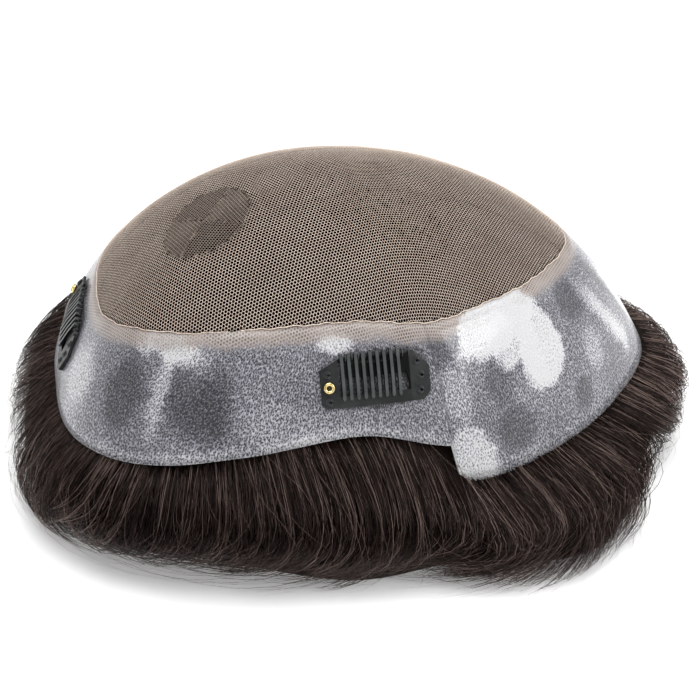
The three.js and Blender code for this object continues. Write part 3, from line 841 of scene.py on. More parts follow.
@dataclass(frozen=True)
class NetWeave:
    """Six-sided cells in staggered rows, with a thread round each hole."""

    pitch: float = 1.0
    row: float = 0.9
    hole: float = 0.86
    crest: float = 0.05
    inner: float = 0.0
    under: float = -0.06

    corners: tuple[tuple[int, int], ...] = ((0, 2), (-1, 1), (-1, -1), (0, -2), (1, -1), (1, 1))

    def lay(self, name: str, form: BaseForm, reach: float, keep: Callable[[np.ndarray], np.ndarray],
            limit: Callable[[np.ndarray], np.ndarray],
            place: Callable[[np.ndarray], np.ndarray]) -> bpy.types.Mesh:
        """Lays the net over the base.

        Args:
            name: The mesh's name.
            form: The base.
            reach: Half the width of the cloth that the cells are cut from.
            keep: Says which flat cell centres belong to the net.
            limit: Brings flat points that pass the net's border back to it.
            place: Turns and moves the cloth over the unrolled base.

        Returns:
            One closed mesh of all the threads.
        """
        rows = int(reach / self.row)
        columns = int(reach / self.pitch)
        row, column = np.meshgrid(np.arange(-rows, rows + 1), np.arange(-columns, columns + 1), indexing="ij")
        cells = np.stack((2 * column + row % 2, 3 * row), axis=-1).reshape(-1, 2)
        cells = cells[keep(place(self._flat(cells)))]
        around = cells[:, None] + np.array(self.corners)
        stride = 8 * (rows + columns) + 16
        keys = around[..., 0] * stride + around[..., 1]
        kept, first, index, uses = np.unique(
            keys.ravel(), return_index=True, return_inverse=True, return_counts=True)
        index = index.reshape(-1, 6)
        outer = self._flat(around.reshape(-1, 2)[first])
        centre = self._flat(cells)
        inner = (centre[:, None] + self.hole * (self._flat(around) - centre[:, None])).reshape(-1, 2)
        sheets = [(outer, self.crest), (outer, self.under), (inner, self.inner)]
        points = []
        for flat, lift in sheets:
            angle, slope = form.roll(limit(place(flat)))
            points.append(form.raised(angle, slope, np.full(len(flat), lift)))
        top = index
        bottom = np.where(uses[index] == 3, index + len(kept), index)
        hole = np.arange(len(inner)).reshape(-1, 6) + 2 * len(kept)
        upper = np.stack((top, np.roll(top, -1, 1), np.roll(hole, -1, 1), hole), axis=-1).reshape(-1, 4)
        lower = np.stack((np.roll(bottom, -1, 1), bottom, hole, np.roll(hole, -1, 1)), axis=-1).reshape(-1, 4)
        return mesh_from_arrays(name, np.concatenate(points), [upper, lower], {})

    def _flat(self, cells: np.ndarray) -> np.ndarray:
        """Flat millimetres of places counted in half pitches and thirds of a row."""
        return cells * np.array((self.pitch / 2, self.row / 3))


@dataclass
class LaceCap:
    """The lace dome, with the crown patch let into it."""

    form: BaseForm
    weave: NetWeave = field(default_factory=NetWeave)
    patch_radius: float = 14.0
    patch_angle: float = -170.0
    patch_slope: float = 0.34
    patch_weave: NetWeave = field(default_factory=lambda: NetWeave(
        pitch=0.7, row=0.98, hole=0.87, crest=0.08, inner=0.02, under=-0.05))
    patch_turns: tuple[float, ...] = (-74.0, 38.0, -70.0, 36.0)
    patch_lap: float = 0.3
    seam_radius: float = 0.13
    border_lift: float = 0.06
    stretches: tuple[tuple[str, float, float], ...] = (
        ("near", -math.inf, -17.0), ("middle", -17.0, 17.0), ("far", 17.0, math.inf))

    @property
    def patch_centre(self) -> np.ndarray:
        """Flat place of the crown patch."""
        return self.form.unroll(np.array(self.patch_angle), np.array(self.patch_slope))

    def build(self) -> None:
        """Builds the dome's net, the patch and the border's seam."""
        net = NetFinish().make()
        for side, low, high in self.stretches:
            name = f"lace_net_{side}"
            mesh = self.weave.lay(name, self.form, self.form.length / 2,
                                  lambda flat: self._in_dome(flat, low, high),
                                  self._to_border, lambda flat: flat)
            finish_mesh(name, mesh, net, ("lace_cap",))
        self._patch()
        self._border(net)

    def _in_dome(self, flat: np.ndarray, low: float, high: float) -> np.ndarray:
        """Which cells lie on one stretch of the dome and clear of the patch."""
        angle, slope = self.form.roll(flat)
        inside = slope < self.form.lace(angle)
        clear = np.hypot(*(flat - self.patch_centre).T) > self.patch_radius
        return inside & clear & (flat[:, 1] >= low) & (flat[:, 1] < high)

    def _to_border(self, flat: np.ndarray) -> np.ndarray:
        """Flat points, with those past the lace's border brought back to it."""
        angle, slope = self.form.roll(flat)
        share = np.minimum(1, self.form.lace(angle) / np.maximum(slope, 1e-6))
        return flat * share[:, None]

    def _patch(self) -> None:
        """The crown patch: quarters of the same lace, each pulled long on its own slant."""
        finish = NetFinish(name="crown_net", thread="#93847a", pale="#cbbbad").make()
        count = len(self.patch_turns)
        for number, turn in enumerate(self.patch_turns):
            turned = math.radians(turn)
            matrix = np.array(((math.cos(turned), -math.sin(turned)), (math.sin(turned), math.cos(turned))))

            def place(flat: np.ndarray) -> np.ndarray:
                """Turns the cloth and moves it over the patch."""
                return flat @ matrix.T + self.patch_centre

            def keep(flat: np.ndarray) -> np.ndarray:
                """Which cells lie in this quarter of the patch."""
                local = flat - self.patch_centre
                facing = math.radians(number * FULL_TURN / count)
                ahead = local @ np.array((math.cos(facing), math.sin(facing)))
                aside = np.abs(local @ np.array((-math.sin(facing), math.cos(facing))))
                near = np.hypot(*local.T) < self.patch_radius + self.patch_lap
                return near & (ahead > aside - self.patch_lap)

            name = f"crown_net_{number + 1}"
            mesh = self.patch_weave.lay(name, self.form, 2 * self.patch_radius, keep, lambda flat: flat, place)
            finish_mesh(name, mesh, finish, ("crown_patch",))

    def _border(self, net: bpy.types.Material) -> None:
        """The raised line of stitches where the lace is let into the skin."""
        angle = np.linspace(-180, 180, 721)
        wander = 0.15 * np.sin(np.radians(angle * 37)) + 0.1 * np.sin(np.radians(angle * 83))
        slope = self.form.lace(angle) + wander / self.form.run(angle)
        path = self.form.raised(angle, slope, np.full(len(angle), self.border_lift))[:-1]
        spacing = len(path)
        closed = np.concatenate((path, path[:2]))[None]
        radii = self.seam_radius * (1 + 0.2 * np.sin(np.arange(spacing + 2) * 1.7))[None]
        mesh = tube_mesh("lace_border", closed, radii, 6, np.array([0.5]))
        finish_mesh("lace_border", mesh, net, ("lace_cap",))


# The skin


@dataclass(frozen=True)
class SoftFold:
    """A shallow ridge or dent in the film, by its middle, half widths and height."""

    angle: float
    slope: float
    half_angle: float
    half_slope: float
    height: float


@dataclass
class SkinBand:
    """The clear band between the lace and the cut edge, with its step at each temple."""

    form: BaseForm
    columns: int = 720
    rows: int = 14
    wall: float = 0.5
    seam_gap: float = 0.1
    rim_length: float = 560.0
    # Pale patches are partly cloudy film and partly painted reflections of the lamps; the dark patches marked
    # below lie under the clips and are painted shadow; the other dark patches are clearer film over dark hair.
    patches: tuple[HazeAndPaintedLight, ...] = (
        HazeAndPaintedLight(-52.5, 0.65, 24.0, 8.5, 0.0, 0.75, 0.25),
        HazeAndPaintedLight(-42.0, 0.76, 12.5, 12.5, 0.0, 0.7, 0.25),
        HazeAndPaintedLight(-50.0, 0.71, 14.0, 8.0, 0.0, 0.6, 0.3),
        HazeAndPaintedLight(-47.0, 0.8, 7.5, 6.0, 0.0, 0.5, 0.35),
        HazeAndPaintedLight(-25.0, 0.72, 10.0, 9.0, 0.0, -0.26),
        HazeAndPaintedLight(-27.0, 0.86, 9.0, 7.0, 0.0, 0.3),
        HazeAndPaintedLight(-16.5, 0.82, 7.0, 22.0, 16.0, 0.5, 0.9),
        HazeAndPaintedLight(-14.0, 0.89, 9.0, 9.0, 0.0, 0.45, 0.8),
        HazeAndPaintedLight(-8.5, 0.77, 5.0, 13.0, 10.0, -0.22),
        HazeAndPaintedLight(-3.0, 0.87, 8.0, 22.0, 12.0, 0.85, 0.6),
        HazeAndPaintedLight(20.0, 0.74, 15.0, 14.0, 0.0, 0.8, 0.3),
        HazeAndPaintedLight(-36.0, 0.92, 8.0, 5.0, 0.0, -0.3),
        HazeAndPaintedLight(-58.0, 0.91, 13.0, 8.0, 0.0, -0.28),
        HazeAndPaintedLight(-59.0, 0.79, 10.0, 9.0, 0.0, -0.24),
        HazeAndPaintedLight(-73.0, 0.96, 15.0, 10.5, 0.0, 0.46, 0.25),
        HazeAndPaintedLight(-73.0, 0.8, 9.0, 10.0, 0.0, 0.22),
        HazeAndPaintedLight(-75.0, 0.68, 6.0, 7.0, 0.0, -0.2),
        HazeAndPaintedLight(-136.0, 0.77, 15.0, 14.0, 0.0, -0.36),
        HazeAndPaintedLight(-152.5, 0.76, 10.0, 15.0, 0.0, -0.34),
        HazeAndPaintedLight(-144.5, 0.75, 5.0, 20.0, 6.0, 0.4, 0.8),
        HazeAndPaintedLight(-147.0, 0.63, 18.0, 6.5, 0.0, 0.55),
        HazeAndPaintedLight(-119.0, 0.85, 20.0, 8.0, 0.0, 0.16),
        HazeAndPaintedLight(-167.0, 0.8, 14.0, 15.0, 0.0, 0.34),
        # Painted shadow under the near clip.
        HazeAndPaintedLight(-93.5, 0.762, 19.0, 8.0, 8.0, -0.6, 0.25),
        HazeAndPaintedLight(-107.0, 0.665, 8.0, 4.5, 0.0, 0.55),
        HazeAndPaintedLight(55.0, 0.86, 15.0, 9.0, 0.0, -0.3),
        HazeAndPaintedLight(78.0, 0.82, 9.0, 10.0, 0.0, 0.4),
        # Painted shadow under the far clip.
        HazeAndPaintedLight(93.5, 0.762, 19.0, 8.0, -8.0, -0.6, 0.25),
        HazeAndPaintedLight(120.0, 0.8, 14.0, 8.0, 0.0, 0.3),
        HazeAndPaintedLight(140.0, 0.76, 13.0, 14.0, 0.0, -0.34),
        HazeAndPaintedLight(158.0, 0.84, 6.0, 15.0, 0.0, 0.4),
        # Painted shadow under the back clip.
        HazeAndPaintedLight(174.0, 0.785, 17.5, 8.0, 20.0, -0.5, 0.3),
    )
    folds: tuple[SoftFold, ...] = (
        SoftFold(-136.0, 0.8, 5.0, 0.2, 0.9),
        SoftFold(-152.0, 0.82, 7.0, 0.16, -0.7),
        SoftFold(-118.0, 0.78, 8.0, 0.16, -0.6),
        SoftFold(-70.0, 0.86, 6.0, 0.14, 0.6),
        SoftFold(-48.0, 0.84, 8.0, 0.16, -0.5),
        SoftFold(40.0, 0.84, 9.0, 0.14, -0.6),
        SoftFold(136.0, 0.8, 7.0, 0.18, 0.6),
        SoftFold(165.0, 0.84, 7.0, 0.16, -0.5),
    )

    def relief(self, angle: np.ndarray, slope: np.ndarray) -> np.ndarray:
        """Height of the soft folds over the plain base."""
        height = np.zeros_like(angle)
        for fold in self.folds:
            away = (angle - fold.angle + 180) % FULL_TURN - 180
            reach = (away / fold.half_angle) ** 2 + ((slope - fold.slope) / fold.half_slope) ** 2
            height += fold.height * np.exp(-reach)
        return height

    def build(self) -> None:
        """Builds the film from a grid that is wrapped round the base and given its wall."""
        form = self.form
        bm = bmesh.new()
        bmesh.ops.create_grid(bm, x_segments=self.columns, y_segments=self.rows, size=0.5)
        shares = np.array([vert.co[:2] for vert in bm.verts]) + 0.5
        angle = (shares[:, 0] - 0.5) * FULL_TURN
        inside = form.lace(angle) + self.seam_gap / form.run(angle)
        slope = inside + (form.edge(angle) - inside) * shares[:, 1]
        places = form.raised(angle, slope, self.relief(angle, slope))
        span = SkinFinish.map_span
        flat = form.unroll(angle, slope) / span
        run = form.run(angle)
        edges = np.stack(((slope - inside) * run, (form.edge(angle) - slope) * run), axis=-1) / span
        comb = np.stack((angle / FULL_TURN * self.rim_length, (form.edge(angle) - slope) * run), axis=-1) / span
        mesh = wrap_grid("skin_film", bm, places, {"flat": flat, "edges": edges, "comb": comb})
        if mesh.polygons[0].normal.z < 0:
            mesh.flip_normals()
        film = SkinFinish().make(form, self.patches)
        piece = finish_mesh("skin_film", mesh, film, ("skin_band",))
        wall = piece.modifiers.new("wall", "SOLIDIFY")
        wall.thickness = self.wall * MM
        wall.offset = -1.0


# The clips


@dataclass(frozen=True)
class ClipSeat:
    """Where a clip is sewn on, and how far its length is turned from the line of the rim."""

    name: str
    angle: float
    slope: float
    turn: float


@dataclass
class SnapClip:
    """A lacquered snap comb clip with its eyelet and the threads that sew it on."""

    form: BaseForm
    nodes: dict[str, bpy.types.Object]
    seat: ClipSeat
    length: float = 31.0
    width: float = 14.0
    sheet: float = 0.9
    bar: float = 3.2
    rail: float = 1.5
    eye: float = 5.0
    heel: float = 8.0
    gap: float = 0.3
    tooth_pitch: float = 2.0
    tooth_width: float = 0.9
    round_off: float = 0.14
    thread: float = 0.2
    eyelet_bore: float = 1.3
    eyelet_rim: float = 3.2
    holes: tuple[tuple[str, float, float], ...] = (
        ("eye", 0.4, 0.136), ("eye", 0.4, 0.67),
        ("heel", 0.45, 0.786), ("heel", 0.325, 0.5), ("heel", 0.375, 0.207))

    def build(self, lacquer: bpy.types.Material, wear_and_highlight: bpy.types.Material, shaded_recess: bpy.types.Material,
              brass: bpy.types.Material, thread: bpy.types.Material) -> None:
        """Builds the clip, its eyelet and its stitches.

        Args:
            lacquer: Finish of the clip.
            wear_and_highlight: Finish of the tops of its teeth, a lighter copy of the lacquer that is painted
                highlight.
            shaded_recess: Finish of the leaf and the rail under the teeth, a near-black copy of the lacquer
                that is painted shade.
            brass: Finish of the eyelet.
            thread: Finish of the stitches.
        """
        name = self.seat.name
        comb = self._comb()
        finish_mesh(f"{name}_comb", comb, lacquer, (name,))
        comb.materials.append(wear_and_highlight)
        comb.materials.append(shaded_recess)
        finish_mesh(f"{name}_ring", self._eyelet(), brass, (f"{name}_eyelet",))
        finish_mesh(f"{name}_stitches", self._stitches(), thread, (name,))

    @cached_property
    def frame(self) -> tuple[np.ndarray, np.ndarray, np.ndarray, np.ndarray]:
        """Centre of the seat, and directions along the clip, over it and out of the base."""
        angle, slope = np.array(self.seat.angle), np.array(self.seat.slope)
        around, up, out = self.form.axes(angle, slope)
        turn = math.radians(self.seat.turn)
        along = around * math.cos(turn) + up * math.sin(turn)
        return self.form.point(angle, slope), along, np.cross(out, along), out

    def on_base(self, x: np.ndarray, y: np.ndarray, lift: np.ndarray) -> np.ndarray:
        """Points over the base, in the clip's own frame.

        Args:
            x: Millimetres along the clip from its middle.
            y: Millimetres across it, up the slope.
            lift: Height over the film.

        Returns:
            The points in millimetres.
        """
        centre, along, over, out = self.frame
        x, y, lift = (np.asarray(value, dtype=float) for value in (x, y, lift))
        angle, slope = self.seat.angle + 0 * x, self.seat.slope + 0 * x
        for _ in range(6):
            here = self.form.point(angle, slope)
            miss = centre + along * x[..., None] + over * y[..., None] - here
            by_angle = self.form.point(angle + 0.1, slope) - here
            by_slope = self.form.point(angle, slope + 0.001) - here
            a, b, c, d = by_angle @ along, by_slope @ along, by_angle @ over, by_slope @ over
            e, f, whole = miss @ along, miss @ over, a * d - b * c
            angle, slope = angle + 0.1 * (d * e - b * f) / whole, slope + 0.001 * (a * f - c * e) / whole
        height = (self.form.point(angle, slope) - centre) @ out
        return centre + along * x[..., None] + over * y[..., None] + out * (height + lift)[..., None]

    def _comb(self) -> bpy.types.Mesh:
        """The stamped clip, copied from its solid, with every sharp edge rounded by the lacquer."""
        bm = bmesh.new()
        bm.from_mesh(self.nodes[self.seat.name].data)
        bmesh.ops.remove_doubles(bm, verts=bm.verts, dist=0.001 * MM)
        bmesh.ops.dissolve_limit(bm, angle_limit=math.radians(3), verts=bm.verts, edges=bm.edges)
        sharp = [edge for edge in bm.edges
                 if len(edge.link_faces) == 2 and edge.calc_face_angle() > math.radians(40)]
        bmesh.ops.bevel(bm, geom=sharp, offset=self.round_off * MM, offset_type="OFFSET", affect="EDGES",
                        segments=2, profile=0.5, material=-1, clamp_overlap=True)
        centre, along, over, out = self.frame
        low, high = -self.width / 2 + self.bar, self.width / 2 - self.rail * 0.35
        left, right = -self.length / 2 + self.eye, self.length / 2 - self.heel * 0.72
        first_tooth = self.length / 2 - self.heel - self.tooth_width
        for way, reach in ((over, low), (over, high), (along, left), (along, right)):
            bmesh.ops.bisect_plane(bm, geom=[*bm.verts, *bm.edges, *bm.faces], dist=0.001 * MM,
                                   plane_co=Vector((centre + way * reach) * MM), plane_no=Vector(way))
        middles = np.array([face.calc_center_median() for face in bm.faces]) / MM - centre
        base = self.on_base(middles @ along, middles @ over, 0 * middles[:, 0])
        height = (middles - (base - centre)) @ out
        for face, lift, x, y in zip(bm.faces, height, middles @ along, middles @ over):
            between = left < x < right and low < y < high
            off_tooth = abs((first_tooth - x + self.tooth_pitch / 2) % self.tooth_pitch - self.tooth_pitch / 2)
            on_tooth = off_tooth < 0.6 * self.tooth_width and lift > self.gap + 1.15 * self.sheet
            # Tooth tops take the lighter copy of the lacquer, a painted highlight; the leaf and rails between
            # the teeth take the near-black copy, painted shade.
            face.material_index = 1 if on_tooth and left < x < right else 2 if between else 0
        return mesh_from_bmesh("comb", bm)

    def _eyelet(self) -> bpy.types.Mesh:
        """The eyelet, turned from its rolled section."""
        bore, rim, top = self.eyelet_bore / 2, self.eyelet_rim / 2, self.sheet + self.gap
        roll = 0.42
        section = [(bore, 0.0), (bore + 0.4, 0.0), (bore + 0.4, top), (rim - 0.12, top), (rim, top + roll)]
        middle = (bore + rim) / 2 + 0.06
        section += [(middle + (rim - middle) * math.cos(turn), top + roll + 0.38 * math.sin(turn))
                    for turn in np.radians((40, 80, 110, 140))]
        section += [(bore, top + roll)]
        bm = bmesh.new()
        loop = [bm.verts.new((radius * MM, 0.0, height * MM)) for radius, height in section]
        edges = [bm.edges.new(pair) for pair in zip(loop, loop[1:] + loop[:1])]
        bmesh.ops.spin(bm, geom=loop + edges, cent=(0, 0, 0), axis=(0, 0, 1), angle=2 * math.pi, steps=40,
                       use_merge=True, use_duplicate=False)
        bmesh.ops.recalc_face_normals(bm, faces=bm.faces)
        self._seat_mesh(bm, 0.42 * self.eye - self.length / 2, (0.414 - 0.5) * self.width, 0.0)
        for face in bm.faces:
            face.smooth = True
        return mesh_from_bmesh("ring", bm)

    def _seat_mesh(self, bm: bmesh.types.BMesh, x: float, y: float, lift: float) -> None:
        """Moves a shape from the clip's own frame to its seat."""
        _, along, over, out = self.frame
        turn = Matrix((along, over, out)).transposed().to_4x4()
        place = Matrix.Translation(Vector(self.on_base(x, y, lift)) * MM)
        bmesh.ops.transform(bm, matrix=place @ turn, verts=bm.verts)

    def _stitches(self) -> bpy.types.Mesh:
        """Threads through the sewing holes and over the upper rail."""
        left, right = -self.length / 2, self.length / 2
        paths = []
        top = self.gap + self.sheet
        for end, share, up in self.holes:
            x = left + self.eye * share if end == "eye" else right - self.heel * share
            y = -self.width / 2 + self.width * up
            paths.append(self._ring_path(x, y, 0.95, top + 0.12))
            paths.append(self._ring_path(x + 0.1, y - 0.05, 0.6, top + 0.3))
        rail = self.width / 2
        for number in range(11):
            x = left + self.eye + 2.2 + number * self.tooth_pitch * 0.9
            low = self._bridge_path(x, rail - self.rail - 0.2, rail + 0.5 + 0.5 * (number % 3), top + 0.25)
            paths.append(low)
        return tube_mesh("stitches", np.array(paths), np.full((len(paths), len(paths[0])), self.thread), 6,
                         np.linspace(0, 1, len(paths)))

    def _ring_path(self, x: float, y: float, radius: float, lift: float) -> np.ndarray:
        """A turn of thread round a hole, which dips into it at both ends."""
        turns = np.linspace(0, 2 * math.pi * 0.94, 12)
        heights = lift - 0.5 * np.cos(turns / 0.94) ** 8
        return self.on_base(x + radius * np.cos(turns), y + radius * np.sin(turns), heights)

    def _bridge_path(self, x: float, low: float, high: float, lift: float) -> np.ndarray:
        """A stitch that rises through the window, crosses the rail and dips into the film."""
        shares = np.linspace(0, 1, 12)
        return self.on_base(x + 0.3 * shares, low + (high - low) * shares,
                            lift * np.sin(math.pi * shares).clip(0) ** 0.5 - 0.05)


# The hair


@dataclass
class HairMass:
    """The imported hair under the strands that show: a ring with the hollow of the base inside it."""

    form: BaseForm
    columns: int = 180
    inset: float = 5.5
    foot_gain: float = 2.8
    wall: float = 18.0
    roof_gap: float = 1.9
    net_gap: float = 0.45
    bed: float = 3.0
    roof_rows: int = 22
    outside_rows: int = 12
    inside_rows: int = 12
    girth: float = 520.0
    row_length: float = 3.0
    top_way: float = 0.02

    def build(self) -> None:
        """Builds the mass from a grid wrapped round, closed at both poles of its roof."""
        form = self.form
        rows = self.roof_rows + self.outside_rows + self.inside_rows
        bm = bmesh.new()
        bmesh.ops.create_grid(bm, x_segments=self.columns, y_segments=rows - 1, size=0.5)
        shares = np.array([vert.co[:2] for vert in bm.verts]) + 0.5
        angle = (shares[:, 0] - 0.5) * FULL_TURN
        step = np.rint(shares[:, 1] * (rows - 1)).astype(int)
        places = np.zeros((len(angle), 3))
        edge = form.eased_edge(angle) - 0.02
        for row in range(rows):
            mask = step == row
            places[mask] = self._row(row, rows, angle[mask], edge[mask])
        flow = np.stack((shares[:, 0] * self.girth, step * self.row_length), axis=-1) * MM
        mesh = wrap_grid("hair_mass", bm, places, {"flow": flow})
        finish_mesh("hair_mass", mesh, HairDepthFinish().make(), ("hair",))

    def _row(self, row: int, rows: int, angle: np.ndarray, edge: np.ndarray) -> np.ndarray:
        """Points of one row: down the roof, down the outside, then up the inside to the crown again."""
        form, roof, outside = self.form, self.roof_rows, self.outside_rows
        if row < roof:
            slope = edge * row / (roof - 1)
            border = form.lace(angle)
            gap = self.net_gap + (self.roof_gap - self.net_gap) * ease(slope, border - 0.08, border - 0.01)
            return form.raised(angle, slope, -gap)
        if row < roof + outside:
            way = np.full(len(angle), self.top_way + (1 - self.top_way) * (row - roof) / (outside - 1))
            depth = self.inset - self.foot_gain * ease(way, 0.3, 0.8)
            stand = HEADING_TABLE.read("packed", angle) * ease(way, 0.3, 0.9)
            shoulder = HEADING_TABLE.read("shoulder", angle) * (1 - ease(way, 0.3, 0.8))
            return form.hair(angle, way, stand + shoulder - depth)
        share = (row - roof - outside) / (rows - 1 - roof - outside)
        rise = np.minimum(share * 2.2, 1.0)
        if share < 0.45:
            way = np.full(len(angle), 1 - rise * 0.85)
            return form.hair(angle, way, np.full(len(angle), -self.wall - 0.25 * self.wall * rise))
        slope = form.rear_cut * (1 - (share - 0.45) / 0.55) * 0.9
        return form.raised(angle, np.full(len(angle), slope), np.full(len(angle), -self.roof_gap - self.bed))


@dataclass(frozen=True)
class Tress:
    """How the strands of one layer are laid.

    A strand is drawn about three times as thick as real hair, because real hair is too fine
    to show at this size.
    """

    way: Way
    count: int
    steps: int
    radius: float
    spread: float
    lift: tuple[float, float]
    reach: tuple[float, float]


# How a strand is headed as it falls, in degrees from straight down and towards the front.
# spread: how far the tips stand out over the outside, packed: how far the hair under them
# does at the foot, and shoulder: how far the upper half does, in millimetres. fair: how much
# paler the strands are, where light comes through them.
HEADING_TABLE = RoundTable(
    ("angle", "leave", "arrive", "spread", "packed", "shoulder", "fair"),
    (
        (0, 0, 0, -9, -9, 0.5, 0.3),
        (20, 10, 20, -8, -8, -1.5, 0.2),
        (28, 18, 30, -6, -6, -1, 0.08),
        (36, 26, -100, 1, -3, 0, 0.04),
        (44, 26, -105, 10, 4, 0, 0.02),
        (52, 20, -115, 11, 9, 0, 0),
        (62, 18, -105, 2, 6, 0, 0),
        (69, 30, -100, -1, 0, 0, 0),
        (78, 42, -92, -2, -2, 0, 0),
        (105, 42, -92, 4, 3, 0, 0),
        (130, 22, -80, -6, -6, 0, 0),
        (150, 0, -50, -3, -4, -2, 0.04),
        (165, 12, 24, -0.5, -1.5, -3, 0.2),
        (180, 0, 0, -0.5, -1.5, -4, 0.34),
    ),
)


@dataclass
class HairFall:
    """The hair that shows: locks of strands that hang from under the rim and sweep back at the tips."""

    form: BaseForm
    seed: int = 11
    locks: int = 120
    drop: float = 44.0
    round_gap: float = 1.75
    bend: float = 1.25
    light_share: float = 0.24
    lock_play: tuple[float, float] = (9.0, 22.0)
    strand_play: tuple[float, float] = (6.0, 15.0)
    stray_play: tuple[float, float] = (22.0, 55.0)
    wave: float = 0.3
    rise: float = 2.0
    sectors: int = 4
    tuck: float = 1.5
    tuck_reach: tuple[float, float] = (3.5, 8.0)
    inner_lift: tuple[float, float] = (-14.2, -3.5)
    fall: Tress = Tress(Way.FALL, 7500, 9, 0.098, 2.4, (-5.0, 0.2), (0.7, 1.0))
    stray: Tress = Tress(Way.STRAY, 1200, 9, 0.034, 7.0, (-1.0, 1.6), (0.6, 1.08))
    stray_rise: float = 2.6
    inner: Tress = Tress(Way.INNER, 700, 7, 0.12, 3.0, (-1.2, 0.0), (0.8, 1.0))

    def build(self) -> None:
        """Builds the strands, a piece for each stretch of the rim."""
        finish = HairFinish().make()
        random = np.random.default_rng(self.seed)
        paths, radii, shades, roots = self._strands(self.fall, random)
        sector = ((roots + 180) % FULL_TURN // (FULL_TURN / self.sectors)).astype(int)
        for number in range(self.sectors):
            mask = sector == number
            mesh = tube_mesh("strands", paths[mask], radii[mask], 3, shades[mask])
            finish_mesh(f"hair_strands_{number + 1}", mesh, finish, ("hair",))
        for name, tress in (("hair_strays", self.stray), ("hair_inside", self.inner)):
            paths, radii, shades, _ = self._strands(tress, random)
            finish_mesh(name, tube_mesh(name, paths, radii, 3, shades), finish, ("hair",))

    def _strands(self, tress: Tress, random: np.random.Generator) -> tuple[
            np.ndarray, np.ndarray, np.ndarray, np.ndarray]:
        """Lays one layer of strands.

        Args:
            tress: The layer.
            random: The seeded source of chance.

        Returns:
            The paths, the radii, a shade for each strand and the angle of its root.
        """
        form, count = self.form, tress.count
        lock_angle = -180 + FULL_TURN * (np.arange(self.locks) + random.uniform(0, 1, self.locks)) / self.locks
        lock = random.integers(0, self.locks, count)
        pick = {name: random.uniform(*bounds, self.locks)[lock][:, None]
                for name, bounds in (("leave", (-1, 1)), ("arrive", (-1, 1)), ("rise", (-self.rise, self.rise)),
                                     ("reach", tress.reach), ("tone", (-0.17, 0.17)))}
        share = np.linspace(0, 1, tress.steps)[None, :]
        root = lock_angle[lock][:, None] + random.normal(0, 1, (count, 1)) * tress.spread
        reach = pick["reach"] * random.uniform(0.8, 1.05, (count, 1))
        play = self.stray_play if tress.way is Way.STRAY else self.strand_play
        way, aside = self._fallen(root, share, reach, pick, play, random)
        waves = share * random.uniform(0.8, 2.2, (count, 1))
        ripple = np.sin(2 * math.pi * (waves + random.uniform(0, 1, (count, 1))))
        angle = root + (aside + self.wave * ripple * random.uniform(0.2, 1.6, (count, 1))) / self.round_gap
        lift = random.uniform(*tress.lift, (count, 1)) + pick["rise"] * np.sin(math.pi * share)
        lift = lift + HEADING_TABLE.read("spread", root) * ease(share, 0.4, 1.0)
        lift = lift + HEADING_TABLE.read("shoulder", root) * (1 - ease(share, 0.3, 0.8))
        held = self._tucked(root) * (1 - ease(way, 0.14, 0.45))
        lift = lift * (1 - held) - (form.stand_out(angle, np.clip(way, 0.0, 1.0)) + self.tuck) * held
        if tress.way is Way.STRAY:
            lift = lift + random.uniform(0, self.stray_rise, (count, 1)) * share ** 2
            angle = angle + random.normal(0, 5, (count, 1)) * share ** 2
        elif tress.way is Way.INNER:
            lift = lift + self.inner_lift[0] + self.inner_lift[1] * (1 - way.clip(0, 1))
        line = form.edge(root)
        paths = form.hair(angle, np.clip(way, 0.0, 1.0), lift, line)
        spare = np.maximum(way - 1.0, 0) * self.drop
        paths = paths + form.level_out(angle) * spare[..., None]
        inset = random.uniform(0.3, 1.8, (count, 1)) / form.run(root)
        deep = np.broadcast_to(random.uniform(-2.4, -1.3, (count, 1)), angle.shape)
        rooted = form.raised(angle, line - inset, deep)
        leave = ease(share, 0.0, 0.18)[..., None]
        paths = rooted * (1 - leave) + paths * leave
        floor = tress.radius + random.uniform(0.02, 1.6, (count, 1))
        paths[..., 2] = np.maximum(paths[..., 2], floor)
        taper = np.where(share < 0.7, 1.0, 1 - 0.75 * (share - 0.7) / 0.3)
        radii = tress.radius * taper * random.uniform(0.7, 1.3, (count, 1))
        light = random.uniform(0, 1, count) < self.light_share
        radii = radii * np.where(light, 0.75, 1.0)[:, None]
        fair = HEADING_TABLE.read("fair", root)[:, 0] + (0.25 if tress.way is Way.STRAY else 0.0)
        shades = np.clip(random.normal(0.17, 0.17, count) + pick["tone"][:, 0] + fair + 0.62 * light, 0, 1)
        return paths, radii, shades, root[:, 0]

